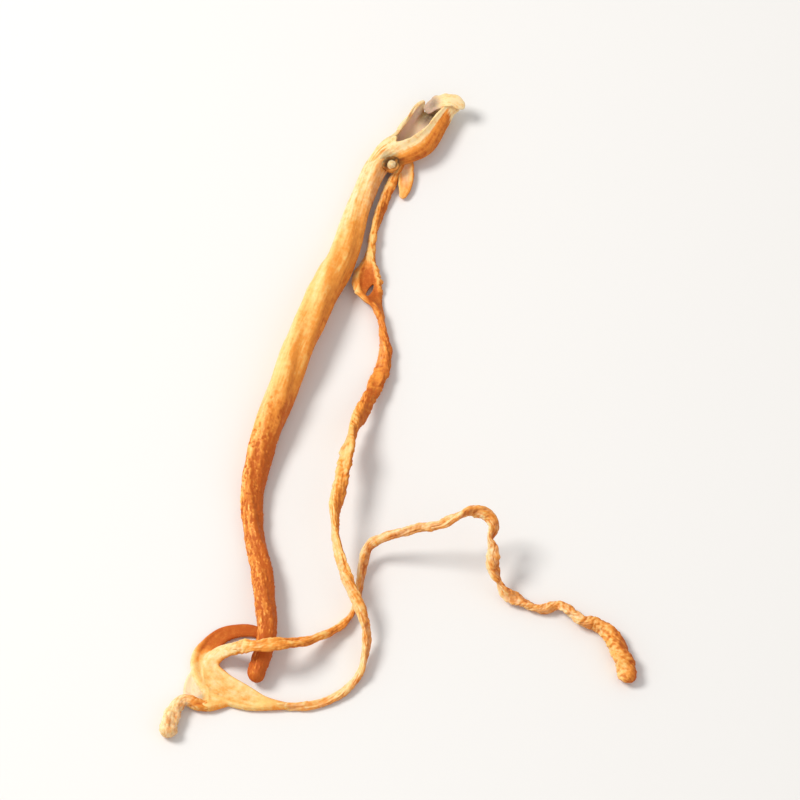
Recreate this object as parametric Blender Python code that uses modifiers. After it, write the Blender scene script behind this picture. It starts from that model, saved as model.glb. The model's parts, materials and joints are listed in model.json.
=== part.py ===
"""Dried cordyceps: one small tuft of a dried orange club fungus, lying on a flat surface.

A thick club stalk and a thin side stalk grow from one cut, hollow base. The side stalk runs down
beside the thick one, arches, crosses over the curly stalk and comes back along the surface, where it
flattens into a fork. From the fork grow the curly stalk, a short club and a curved tail.

Metres, +Z up. The long way of the tuft lies along Y, its cut base at +Y. The origin is in the middle
of the footprint, on the surface that the tuft lies on.
"""

import math

import bmesh
import bpy
import numpy as np
from mathutils import Matrix, Vector, kdtree, noise

MM = 0.001
JOIN_GAP = 0.3  # mm between two pieces that grew together
FLOOR = 0.0  # mm, the surface that the tuft lies on
SETTLE = 0.1  # mm, how far the stalks are pressed flat where they lie on it
FOOTPRINT_MIDDLE = (2.81, 0.97)  # mm, where the middle of the tuft is on the drawing of its routes

BASE_WALL = 0.45  # mm, the skin of the hollow base
BASE_SIDES = 20
BASE_RINGS = 9
MOUTH_CUT = 0.56  # how far the mouth is torn back on one side, as a part of the base's length
MOUTH_CUT_WIDTH = 0.80  # radians to each side
MOUTH_CUT_ANGLE = 2.04  # radians round the base, from its right side over its top
MOUTH_SLANT = 0.18  # how much shorter the left side is than the right, as a part of the base's length
RIM_TEETH = ((5, 0.6, 0.025), (3, 2.0, 0.020), (8, 1.1, 0.012))  # number, start, depth: the torn rim
BUD_DIAMETER = 1.15  # mm, the broken bud at the throat
BUD_LENGTH = 1.5  # mm
BUD_PLACE = (1.75, 30.1, 1.85)  # mm, its middle
BUD_AIM = (0.25, -0.60, 0.75)
BUD_DISH = 0.22  # mm, how deep its end is dished

THICK_SPACING = 1.15  # mm between two rings of the thick stalk
THIN_SPACING = 0.95
WEB_SPACING = 0.85
FLAP_SPACING = 0.76
FINE_SPACING = 0.66
THICK_RESOLUTION = 5  # of the bevel: 14 sides
THIN_RESOLUTION = 3  # 10 sides
TIP_RINGS = (75, 52, 28, 9)  # degrees from the tip's equator to its pole, where a round tip has rings

# Routes. Each row is a point of the middle line and the section there, in millimetres:
# x, y, z, width, and thickness as a part of the width.
THICK_ROUTE = (
    (0.4, 30.05, 1.30, 2.45, 0.95),
    (-0.3, 28.6, 1.25, 2.45, 0.95),
    (-1.1, 26.4, 1.20, 2.45, 0.92),
    (-1.9, 23.8, 1.25, 2.55, 0.90),
    (-2.6, 21.2, 1.50, 2.85, 0.90),
    (-3.5, 18.4, 1.80, 3.15, 0.88),
    (-4.7, 15.5, 2.05, 3.25, 0.86),
    (-5.9, 12.5, 2.25, 3.25, 0.86),
    (-7.0, 9.7, 2.35, 3.25, 0.86),
    (-8.0, 7.1, 2.35, 3.20, 0.88),
    (-8.9, 4.5, 2.25, 3.15, 0.88),
    (-9.7, 2.0, 2.05, 3.15, 0.88),
    (-10.5, -0.4, 1.85, 3.00, 0.88),
    (-11.2, -2.9, 1.60, 2.85, 0.88),
    (-11.9, -5.4, 1.35, 2.65, 0.88),
    (-12.3, -7.9, 1.15, 2.45, 0.90),
    (-12.4, -10.4, 1.05, 2.35, 0.92),
    (-12.2, -13.1, 1.05, 2.10, 0.95),
    (-11.6, -15.8, 1.25, 2.20, 0.95),
    (-11.2, -18.6, 1.55, 2.30, 0.95),
    (-11.0, -21.4, 1.90, 2.20, 0.95),
    (-10.7, -24.3, 2.05, 2.05, 0.95),
    (-11.0, -26.9, 1.80, 1.90, 0.95),
    (-11.6, -28.9, 1.40, 1.85, 0.95),
    (-12.0, -30.1, 1.20, 1.65, 0.95),
)
SIDE_ROUTE = (
    (2.3, 29.4, 0.75, 1.05, 0.90),
    (1.8, 28.0, 0.60, 1.10, 0.90),
    (1.0, 25.9, 0.60, 1.10, 0.90),
    (0.2, 23.2, 0.65, 1.10, 0.85),
    (-0.2, 20.8, 0.75, 1.10, 0.85),
    (-0.4, 19.2, 0.80, 1.45, 0.62),
    (-0.55, 17.7, 0.80, 2.60, 0.36),
    (-0.6, 16.3, 0.80, 3.20, 0.30),
    (-0.25, 14.9, 0.78, 2.80, 0.34),
    (0.35, 13.5, 0.75, 1.80, 0.50),
    (0.8, 12.2, 0.72, 1.35, 0.68),
    (1.1, 9.9, 0.65, 1.55, 0.66),
    (1.3, 8.0, 0.60, 1.80, 0.58),
    (0.9, 5.9, 0.80, 1.90, 0.55),
    (0.2, 3.9, 1.20, 1.80, 0.62),
    (-0.7, 1.3, 1.75, 1.80, 0.62),
    (-1.8, -1.3, 2.30, 1.85, 0.62),
    (-2.4, -3.6, 2.80, 1.85, 0.65),
    (-2.9, -6.3, 3.30, 1.65, 0.70),
    (-3.4, -9.1, 3.60, 1.50, 0.72),
    (-3.8, -11.8, 3.75, 1.40, 0.72),
    (-3.8, -14.2, 3.75, 1.35, 0.72),
    (-3.4, -16.7, 3.60, 1.25, 0.70),
    (-2.7, -19.1, 3.30, 1.30, 0.70),
    (-1.8, -21.1, 2.90, 1.30, 0.70),
    (-1.0, -23.0, 2.40, 1.35, 0.65),
    (-0.6, -24.8, 1.90, 1.30, 0.65),
    (-0.7, -26.5, 1.35, 1.25, 0.65),
    (-1.0, -28.2, 0.90, 1.20, 0.70),
    (-1.8, -29.7, 0.60, 1.10, 0.75),
    (-3.1, -31.0, 0.48, 1.00, 0.80),
    (-5.0, -32.1, 0.43, 0.90, 0.85),
    (-7.2, -32.5, 0.43, 0.90, 0.85),
    (-9.2, -32.4, 0.45, 0.95, 0.85),
)
CURLY_ROUTE = (
    (-13.8, -27.0, 2.65, 1.40, 0.70),
    (-12.7, -27.2, 3.50, 1.45, 0.70),
    (-11.3, -27.3, 3.85, 1.45, 0.68),
    (-9.5, -27.0, 3.60, 1.45, 0.68),
    (-8.1, -26.6, 3.00, 1.40, 0.70),
    (-6.7, -26.0, 2.20, 1.30, 0.70),
    (-5.4, -25.1, 1.50, 1.25, 0.72),
    (-3.6, -23.9, 0.85, 1.20, 0.75),
    (-2.3, -22.5, 0.60, 1.15, 0.75),
    (-1.6, -20.7, 0.60, 1.15, 0.75),
    (-1.3, -18.7, 0.80, 1.15, 0.75),
    (-1.0, -16.8, 1.30, 1.15, 0.75),
    (-0.4, -15.2, 2.10, 1.15, 0.75),
    (1.1, -14.7, 3.10, 1.10, 0.75),
    (2.9, -14.6, 4.00, 1.05, 0.75),
    (4.7, -14.4, 4.80, 1.00, 0.75),
    (6.7, -14.4, 5.40, 1.00, 0.75),
    (7.9, -14.1, 5.80, 1.05, 0.75),
    (9.4, -13.3, 5.90, 1.15, 0.75),
    (10.5, -13.0, 5.80, 1.20, 0.75),
    (11.9, -13.5, 5.40, 1.20, 0.75),
    (12.4, -14.4, 4.90, 1.15, 0.75),
    (12.0, -15.4, 4.30, 1.15, 0.75),
    (12.3, -16.3, 3.80, 1.20, 0.75),
    (12.2, -17.4, 3.10, 1.20, 0.75),
    (12.5, -18.4, 2.40, 1.25, 0.75),
    (13.2, -19.6, 1.60, 1.25, 0.75),
    (14.0, -20.3, 1.00, 1.25, 0.75),
    (15.3, -20.8, 0.70, 1.20, 0.75),
    (16.7, -21.5, 0.60, 1.25, 0.75),
    (17.8, -21.6, 0.70, 1.20, 0.78),
    (19.0, -21.3, 0.90, 1.20, 0.80),
    (20.3, -22.2, 1.05, 1.35, 0.80),
    (21.5, -23.2, 1.00, 1.50, 0.80),
    (22.7, -23.4, 0.90, 1.45, 0.82),
    (23.8, -24.2, 0.88, 1.60, 0.85),
    (24.8, -25.8, 0.92, 1.90, 0.88),
    (25.5, -27.6, 0.93, 1.95, 0.90),
    (26.2, -30.0, 0.87, 1.75, 0.90),
)
CLUB_ROUTE = (
    (-16.5, -32.5, 0.58, 1.10, 0.90),
    (-17.6, -32.4, 0.70, 1.15, 0.90),
    (-18.8, -32.0, 0.90, 1.20, 0.90),
    (-19.7, -32.7, 1.00, 1.40, 0.90),
    (-20.3, -34.1, 0.98, 1.65, 0.90),
    (-20.8, -36.1, 0.95, 1.75, 0.90),
)
FORK_ROUTE = (
    (-9.2, -32.4, 0.45, 0.95, 0.85),
    (-10.9, -32.2, 0.48, 1.50, 0.65),
    (-12.3, -31.8, 0.50, 2.30, 0.45),
    (-14.0, -31.1, 0.50, 3.10, 0.35),
    (-15.6, -30.1, 0.50, 3.50, 0.30),
    (-16.8, -28.6, 0.50, 3.00, 0.33),
    (-17.0, -27.0, 0.50, 2.60, 0.36),
    (-16.4, -25.7, 0.45, 2.10, 0.42),
    (-15.4, -24.6, 0.42, 1.75, 0.48),
    (-14.0, -24.0, 0.38, 1.50, 0.50),
    (-12.5, -23.9, 0.35, 1.40, 0.50),
    (-11.1, -24.3, 0.33, 1.25, 0.52),
)
CURLY_ROOT = (
    (-16.8, -28.1, 0.50, 1.50, 0.40),
    (-16.3, -27.4, 0.60, 1.75, 0.42),
    (-15.6, -26.95, 1.05, 1.65, 0.52),
    (-14.8, -26.9, 1.75, 1.50, 0.64),
    (-13.8, -27.0, 2.65, 1.40, 0.70),
)
CLUB_ROOT = (
    (-13.9, -31.6, 0.46, 0.90, 0.45),
    (-14.9, -32.0, 0.50, 1.20, 0.50),
    (-15.8, -32.3, 0.54, 1.20, 0.70),
    (-16.5, -32.5, 0.58, 1.10, 0.90),
)
MEMBRANE_ROUTE = (
    (-17.4, -28.3, 0.42, 1.00, 0.26),
    (-17.8, -29.3, 0.42, 1.90, 0.16),
    (-18.1, -30.3, 0.43, 2.20, 0.14),
    (-18.15, -30.8, 0.45, 0.80, 0.30),
)
BASE_ROUTE = (
    (0.4, 30.05, 1.30, 2.50, 0.95),
    (1.2, 31.0, 1.35, 2.90, 0.90),
    (2.5, 31.9, 1.35, 3.60, 0.80),
    (4.1, 33.0, 1.40, 4.40, 0.66),
    (5.3, 34.6, 1.45, 4.40, 0.64),
    (6.3, 36.2, 1.50, 3.90, 0.66),
    (7.3, 37.5, 1.60, 3.30, 0.70),
    (8.5, 38.5, 1.75, 2.70, 0.75),
)
FLAP_ROUTE = (
    (2.9, 32.2, 0.90, 1.80, 0.50),
    (3.3, 30.6, 0.75, 1.95, 0.38),
    (3.4, 29.0, 0.62, 1.75, 0.36),
    (3.3, 27.7, 0.56, 1.30, 0.40),
    (3.0, 26.6, 0.52, 0.70, 0.55),
)

# How each stalk dried: furrows along it, the turn of its flat section, and lumps.
# furrows: (number round the section, depth as a part of the radius), turn: radians for each mm.
THICK_SKIN = {"furrows": ((3, 0.05), (5, 0.045)), "turn": 0.022, "lump": 0.07, "lump_size": 2.4}
SIDE_SKIN = {"furrows": ((2, 0.08), (3, 0.07)), "turn": 0.24, "lump": 0.12, "lump_size": 1.8}
CURLY_SKIN = {"furrows": ((2, 0.10), (3, 0.08)), "turn": 0.62, "lump": 0.14, "lump_size": 1.5}
CLUB_SKIN = {"furrows": ((3, 0.06),), "turn": 0.10, "lump": 0.10, "lump_size": 1.2}
FORK_SKIN = {"furrows": ((4, 0.04),), "turn": 0.0, "lump": 0.08, "lump_size": 1.8}
BASE_SKIN = {"furrows": ((4, 0.05), (7, 0.03)), "lump": 0.09, "lump_size": 1.9}


def clear_scene():
    for obj in list(bpy.data.objects):
        bpy.data.objects.remove(obj, do_unlink=True)


def new_collection(name, hidden=False):
    collection = bpy.data.collections.new(name)
    collection.hide_render = hidden
    bpy.context.scene.collection.children.link(collection)
    return collection


def dried_material(name, colour, roughness):
    material = bpy.data.materials.new(name)
    material.use_nodes = True
    shader = material.node_tree.nodes["Principled BSDF"]
    shader.inputs["Base Color"].default_value = (*colour, 1.0)
    shader.inputs["Roughness"].default_value = roughness
    shader.inputs["Metallic"].default_value = 0.0
    return material


def smooth_route(rows, steps=10):
    """The Catmull-Rom curve through the rows, and the length run at each of its points, in mm."""
    rows = np.array(rows, float)
    ends = np.vstack([2 * rows[0] - rows[1], rows, 2 * rows[-1] - rows[-2]])
    points = []
    for i in range(len(rows) - 1):
        a, b, c, d = ends[i : i + 4]
        for t in np.arange(steps) / steps:
            points.append(
                0.5 * (2 * b + (c - a) * t + (2 * a - 5 * b + 4 * c - d) * t**2
                       + (3 * b - a - 3 * c + d) * t**3)
            )
    points.append(rows[-1])
    points = np.array(points)
    run = np.linalg.norm(np.diff(points[:, :3], axis=0), axis=1)
    return points, np.concatenate([[0.0], np.cumsum(run)])


def ring_places(length, spacing, first_radius, last_radius):
    """Where along the route the rings lie, and how much of the full width each has.

    An end with a radius is a round tip. One with none is cut off flat, half the gap before the joint.
    """
    dome = [(math.sin(a), math.cos(a)) for a in map(math.radians, TIP_RINGS)]
    low = first_radius or JOIN_GAP / 2
    high = length - (last_radius or JOIN_GAP / 2)
    count = max(2, round((high - low) / spacing) + 1)
    places = [(place, 1.0) for place in np.linspace(low, high, count)]
    if first_radius:
        places += [(low - first_radius * reach, share) for reach, share in dome]
    if last_radius:
        places += [(high + last_radius * reach, share) for reach, share in dome]
    return sorted(places)


class Route:
    """A stalk's middle line: for each ring its centre, its three axes, its width and its flatness."""

    def __init__(self, rows, spacing, round_start=False, round_end=False):
        points, run = smooth_route(rows)
        start_radius = rows[0][3] / 2 if round_start else 0.0
        end_radius = rows[-1][3] / 2 if round_end else 0.0
        places = ring_places(run[-1], spacing, start_radius, end_radius)
        self.run = [place for place, _ in places]
        at = np.stack([np.interp(self.run, run, points[:, k]) for k in range(5)], axis=1)
        self.centres = [Vector(row[:3]) for row in at]
        self.widths = [row[3] * share for row, (_, share) in zip(at, places)]
        self.flats = [row[4] for row in at]
        self.tangents = []
        for i in range(len(self.centres)):
            before = self.centres[max(i - 1, 0)]
            after = self.centres[min(i + 1, len(self.centres) - 1)]
            self.tangents.append((after - before).normalized())
        self.sides = [t.cross(Vector((0, 0, 1))).normalized() for t in self.tangents]
        self.ups = [side.cross(t).normalized() for side, t in zip(self.sides, self.tangents)]
        self.tree = kdtree.KDTree(len(self.centres))
        for i, centre in enumerate(self.centres):
            self.tree.insert(centre, i)
        self.tree.balance()


def swept_mesh(name, route, resolution):
    """A round tube along the route, its caps welded on, as a mesh in millimetres."""
    curve = bpy.data.curves.new(name, "CURVE")
    curve.dimensions = "3D"
    curve.bevel_depth = 1.0
    curve.bevel_resolution = resolution
    curve.use_fill_caps = True
    spline = curve.splines.new("POLY")
    spline.points.add(len(route.centres) - 1)
    for point, centre, width in zip(spline.points, route.centres, route.widths):
        point.co = (*centre, 1.0)
        point.radius = width * 0.5
    guide = bpy.data.objects.new(name, curve)
    bpy.context.scene.collection.objects.link(guide)
    bpy.context.view_layer.update()
    graph = bpy.context.evaluated_depsgraph_get()
    mesh = bpy.data.meshes.new_from_object(guide.evaluated_get(graph))
    bpy.data.objects.remove(guide)
    bpy.data.curves.remove(curve)
    work = bmesh.new()
    work.from_mesh(mesh)
    bmesh.ops.remove_doubles(work, verts=work.verts, dist=1e-4)
    bmesh.ops.recalc_face_normals(work, faces=work.faces)
    work.to_mesh(mesh)
    work.free()
    return mesh


def dry_skin(mesh, route, skin, seed):
    """Flattens, turns, furrows and dents a round stalk, as drying did."""
    for vertex in mesh.vertices:
        _, i, _ = route.tree.find(vertex.co)
        centre, tangent = route.centres[i], route.tangents[i]
        turn = skin["turn"] * route.run[i]
        wide = route.sides[i] * math.cos(turn) + route.ups[i] * math.sin(turn)
        thin = tangent.cross(wide)
        offset = vertex.co - centre
        along, across, through = offset.dot(tangent), offset.dot(wide), offset.dot(thin)
        angle = math.atan2(through, across)
        swell = 1.0
        for number, depth in skin["furrows"]:
            swell += depth * math.cos(number * (angle + 1.7 + 0.12 * route.run[i]))
        spot = vertex.co / skin["lump_size"] + Vector((seed * 7.3, seed * 3.1, seed * 1.9))
        swell += skin["lump"] * noise.noise(spot)
        vertex.co = (
            centre + tangent * along + wide * across * swell + thin * through * swell * route.flats[i]
        )
    mesh.update()


def lie_flat(mesh):
    """Nothing reaches below the surface: what would is pressed flat on it."""
    for vertex in mesh.vertices:
        vertex.co.z = max(vertex.co.z - SETTLE, FLOOR)


def place(name, mesh, root, material, collection, parent):
    """The mesh, drawn in mm, as an object in metres with its origin at the piece's root."""
    mesh.name = name
    mesh.transform(Matrix.Scale(MM, 4) @ Matrix.Translation(-root))
    mesh.materials.clear()
    mesh.materials.append(material)
    mesh.shade_smooth()
    mesh.set_sharp_from_angle(angle=math.radians(50))
    obj = bpy.data.objects.new(name, mesh)
    obj.location = root * MM
    obj.parent = parent
    collection.objects.link(obj)
    return obj


def stalk(name, rows, skin, seed, spacing, resolution, round_start=False, round_end=False):
    route = Route(rows, spacing, round_start, round_end)
    mesh = swept_mesh(name, route, resolution)
    dry_skin(mesh, route, skin, seed)
    return mesh


def joined(mesh, others, cutters):
    """The mesh with the others united with it, by exact Booleans."""
    body = bpy.data.objects.new("body", mesh)
    cutters.objects.link(body)
    helpers = []
    for other in others:
        helper = bpy.data.objects.new("helper", other)
        helper.hide_render = True
        helper.display_type = "WIRE"
        cutters.objects.link(helper)
        helpers.append(helper)
        union = body.modifiers.new("union", "BOOLEAN")
        union.operation = "UNION"
        union.solver = "EXACT"
        union.object = helper
    bpy.context.view_layer.update()
    graph = bpy.context.evaluated_depsgraph_get()
    whole = bpy.data.meshes.new_from_object(body.evaluated_get(graph))
    for helper in [*helpers, body]:
        bpy.data.objects.remove(helper)
    return whole


def hollow_base():
    """The swollen lower end: a flattened sleeve, closed at the throat and torn open at the mouth."""
    route = Route(BASE_ROUTE, 1.0)
    rows, run = smooth_route(BASE_ROUTE)
    work = bmesh.new()
    rings = [bmesh.ops.create_circle(work, cap_ends=True, segments=BASE_SIDES, radius=1.0)["verts"]]
    for _ in range(BASE_RINGS - 1):
        last = set(rings[-1])
        edges = [edge for edge in work.edges if edge.verts[0] in last and edge.verts[1] in last]
        grown = bmesh.ops.extrude_edge_only(work, edges=edges)["geom"]
        fresh = {item for item in grown if isinstance(item, bmesh.types.BMVert)}
        rings.append(
            [next(e.other_vert(v) for e in v.link_edges if e.other_vert(v) in fresh) for v in rings[-1]]
        )
    for number, verts in enumerate(rings):
        for k, vert in enumerate(verts):
            angle = 2 * math.pi * k / BASE_SIDES
            off_cut = math.remainder(angle - MOUTH_CUT_ANGLE, 2 * math.pi) / MOUTH_CUT_WIDTH
            reach = 1.0 - MOUTH_CUT * math.exp(-(off_cut**4))
            reach -= MOUTH_SLANT * (1 - math.cos(angle)) / 2
            for teeth, start, depth in RIM_TEETH:
                reach -= depth * (1 + math.sin(teeth * angle + start))
            along = JOIN_GAP / 2 + (run[-1] - JOIN_GAP / 2) * reach * number / (BASE_RINGS - 1)
            x, y, z, width, flat = (np.interp(along, run, rows[:, column]) for column in range(5))
            centre = Vector((x, y, z))
            _, i, _ = route.tree.find(centre)
            swell = 1.0
            for folds, depth in BASE_SKIN["furrows"]:
                swell += depth * math.cos(folds * angle + folds + 0.2 * along)
            spot = centre / BASE_SKIN["lump_size"] + Vector((math.cos(angle), math.sin(angle), 0))
            swell += BASE_SKIN["lump"] * noise.noise(spot)
            across = route.sides[i] * math.cos(angle) + route.ups[i] * flat * math.sin(angle)
            vert.co = centre + across * (0.5 * width * swell)
    bmesh.ops.recalc_face_normals(work, faces=work.faces)
    mesh = bpy.data.meshes.new("sleeve")
    work.to_mesh(mesh)
    work.free()
    return mesh


def solidified(mesh, cutters):
    """The open skin with its thickness turned inwards."""
    body = bpy.data.objects.new("skin", mesh)
    cutters.objects.link(body)
    wall = body.modifiers.new("wall", "SOLIDIFY")
    wall.thickness = BASE_WALL
    wall.offset = -1.0
    wall.use_even_offset = True
    wall.thickness_clamp = 1.0
    bpy.context.view_layer.update()
    graph = bpy.context.evaluated_depsgraph_get()
    solid = bpy.data.meshes.new_from_object(body.evaluated_get(graph))
    bpy.data.objects.remove(body)
    return solid


def broken_bud():
    """A bud that broke off at the throat: a short stub with a dished end."""
    work = bmesh.new()
    bmesh.ops.create_cone(
        work,
        cap_ends=True,
        segments=10,
        radius1=BUD_DIAMETER * 0.42,
        radius2=BUD_DIAMETER * 0.5,
        depth=BUD_LENGTH,
    )
    top = max(work.faces, key=lambda face: face.calc_center_median().z)
    bmesh.ops.inset_region(work, faces=[top], thickness=BUD_DIAMETER * 0.16)
    bmesh.ops.translate(work, verts=top.verts, vec=(0, 0, -BUD_DISH))
    aim = Vector(BUD_AIM).to_track_quat("Z", "Y").to_matrix().to_4x4()
    bmesh.ops.transform(work, matrix=Matrix.Translation(BUD_PLACE) @ aim, verts=work.verts)
    mesh = bpy.data.meshes.new("bud")
    work.to_mesh(mesh)
    work.free()
    return mesh


def build():
    clear_scene()
    parts = new_collection("dried_cordyceps")
    cutters = new_collection("cutters", hidden=True)
    tuft = bpy.data.objects.new("tuft", None)
    tuft.location = (-FOOTPRINT_MIDDLE[0] * MM, -FOOTPRINT_MIDDLE[1] * MM, 0.0)
    parts.objects.link(tuft)

    def finish(name, mesh, rows, material):
        lie_flat(mesh)
        return place(name, mesh, Vector(rows[0][:3]), material, parts, tuft)

    golden = dried_material("golden stalk", (0.80, 0.36, 0.08), 0.62)
    strand = dried_material("orange strand", (0.76, 0.30, 0.06), 0.60)
    web = dried_material("pale fork", (0.86, 0.45, 0.14), 0.66)
    tip = dried_material("club tip", (0.72, 0.25, 0.04), 0.68)
    pale = dried_material("cut base", (0.82, 0.58, 0.28), 0.74)

    thick = stalk("thick_stalk", THICK_ROUTE, THICK_SKIN, 1, THICK_SPACING, THICK_RESOLUTION, False, True)
    finish("thick_stalk", thick, THICK_ROUTE, golden)
    side = stalk("side_stalk", SIDE_ROUTE, SIDE_SKIN, 2, THIN_SPACING, THIN_RESOLUTION)
    finish("side_stalk", side, SIDE_ROUTE, strand)
    curly = stalk("curly_stalk", CURLY_ROUTE, CURLY_SKIN, 3, THIN_SPACING, THIN_RESOLUTION, False, True)
    finish("curly_stalk", curly, CURLY_ROUTE, strand)
    club = stalk("short_club", CLUB_ROUTE, CLUB_SKIN, 4, FINE_SPACING, THIN_RESOLUTION, False, True)
    finish("short_club", club, CLUB_ROUTE, tip)

    fork = stalk("flat_fork", FORK_ROUTE, FORK_SKIN, 5, WEB_SPACING, THICK_RESOLUTION, False, True)
    curly_root = stalk("curly_root", CURLY_ROOT, FORK_SKIN, 6, FINE_SPACING, THIN_RESOLUTION, True)
    club_root = stalk("club_root", CLUB_ROOT, FORK_SKIN, 7, FINE_SPACING, THIN_RESOLUTION, True)
    membrane = stalk("membrane", MEMBRANE_ROUTE, FORK_SKIN, 10, FINE_SPACING, THIN_RESOLUTION, True, True)
    finish("flat_fork", joined(fork, [curly_root, club_root, membrane], cutters), FORK_ROUTE, web)

    flap = stalk("flap", FLAP_ROUTE, FORK_SKIN, 8, FLAP_SPACING, THICK_RESOLUTION, True, True)
    sleeve = solidified(hollow_base(), cutters)
    finish("cut_base", joined(sleeve, [flap, broken_bud()], cutters), BASE_ROUTE, pale)


build()
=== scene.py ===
"""Dried cordyceps: the finished look of one small dried tuft of an orange club fungus.

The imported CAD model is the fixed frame. Each of its six pieces gets a fine mesh of its own here:
a thick wrinkled stalk with a grainy club end, two thin twisted stalks, a short club, a papery fork
and a torn, hollow base. Routes are drawn in millimetres, and the finished meshes are in metres,
where the CAD has their pieces.
"""

import json
import math

import bpy
import numpy as np
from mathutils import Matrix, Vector, kdtree, noise

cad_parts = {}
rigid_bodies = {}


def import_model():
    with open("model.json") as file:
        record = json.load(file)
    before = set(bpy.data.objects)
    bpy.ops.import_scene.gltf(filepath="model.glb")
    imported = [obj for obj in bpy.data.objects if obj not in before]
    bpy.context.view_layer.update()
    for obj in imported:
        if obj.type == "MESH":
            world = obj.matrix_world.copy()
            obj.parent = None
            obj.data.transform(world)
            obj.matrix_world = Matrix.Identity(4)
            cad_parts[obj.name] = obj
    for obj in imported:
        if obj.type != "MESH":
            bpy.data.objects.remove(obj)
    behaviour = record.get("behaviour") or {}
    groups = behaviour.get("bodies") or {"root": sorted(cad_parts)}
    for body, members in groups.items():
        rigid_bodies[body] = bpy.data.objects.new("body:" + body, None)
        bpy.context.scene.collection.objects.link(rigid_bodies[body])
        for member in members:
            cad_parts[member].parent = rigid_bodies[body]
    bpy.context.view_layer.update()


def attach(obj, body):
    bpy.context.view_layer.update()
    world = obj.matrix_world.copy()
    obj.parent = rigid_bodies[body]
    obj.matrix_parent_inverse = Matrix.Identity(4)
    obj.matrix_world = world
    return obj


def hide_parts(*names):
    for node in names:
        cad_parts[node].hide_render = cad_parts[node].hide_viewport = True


bl_info = {
    "name": "Dried cordyceps tuft",
    "version": (1, 0, 0),
    "blender": (4, 5, 0),
    "location": "3D View > Sidebar > Dried tuft",
    "description": "Builds one dried tuft of an orange club fungus, piece by piece, on a pale floor",
    "category": "Add Mesh",
}

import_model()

MM = 0.001
FOOTPRINT_MIDDLE = (2.81, 0.97)  # mm, where the middle of the tuft is on the drawing of its routes
SETTLE = 0.1  # mm, how far the stalks are pressed flat where they lie on the floor
ROUTE_STEPS = 40  # points of the smooth curve between two rows
ROUTE_STEP = 0.05  # mm between the even points of a route
TANGENT_REACH = 0.35  # mm to each side, over which a direction is measured
TIP_RINGS = (84, 76, 67, 57, 46, 34, 22, 11)  # degrees from the tip's equator to its pole

# Routes. Each row is a point of the middle line and the section there, in millimetres:
# x, y, z, width, and thickness as a part of the width. The first and last rows of a stalk that
# grows from another piece reach a little way into it.
THICK_LEAD = (
    (1.5, 31.1, 1.35, 1.90, 0.95),
    (1.0, 30.6, 1.33, 2.30, 0.95),
)
THICK_ROUTE = (
    (0.4, 30.05, 1.30, 2.45, 0.95),
    (-0.3, 28.6, 1.25, 2.45, 0.95),
    (-1.1, 26.4, 1.20, 2.45, 0.92),
    (-1.9, 23.8, 1.25, 2.55, 0.90),
    (-2.6, 21.2, 1.50, 2.85, 0.90),
    (-3.5, 18.4, 1.80, 3.15, 0.88),
    (-4.7, 15.5, 2.05, 3.25, 0.86),
    (-5.9, 12.5, 2.25, 3.25, 0.86),
    (-7.0, 9.7, 2.35, 3.25, 0.86),
    (-8.0, 7.1, 2.35, 3.20, 0.88),
    (-8.9, 4.5, 2.25, 3.15, 0.88),
    (-9.7, 2.0, 2.05, 3.15, 0.88),
    (-10.5, -0.4, 1.85, 3.00, 0.88),
    (-11.2, -2.9, 1.60, 2.85, 0.88),
    (-11.9, -5.4, 1.35, 2.65, 0.88),
    (-12.3, -7.9, 1.15, 2.45, 0.90),
    (-12.4, -10.4, 1.05, 2.35, 0.92),
    (-12.2, -13.1, 1.05, 2.10, 0.95),
    (-11.6, -15.8, 1.25, 2.20, 0.95),
    (-11.2, -18.6, 1.55, 2.30, 0.95),
    (-11.0, -21.4, 1.90, 2.20, 0.95),
    (-10.7, -24.3, 2.05, 2.05, 0.95),
    (-11.0, -26.9, 1.80, 1.90, 0.95),
    (-11.6, -28.9, 1.40, 1.85, 0.95),
    (-12.0, -30.1, 1.20, 1.65, 0.95),
)
SIDE_LEAD = (
    (3.2, 31.4, 1.05, 0.90, 0.90),
    (2.8, 30.4, 0.90, 1.00, 0.90),
)
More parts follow.
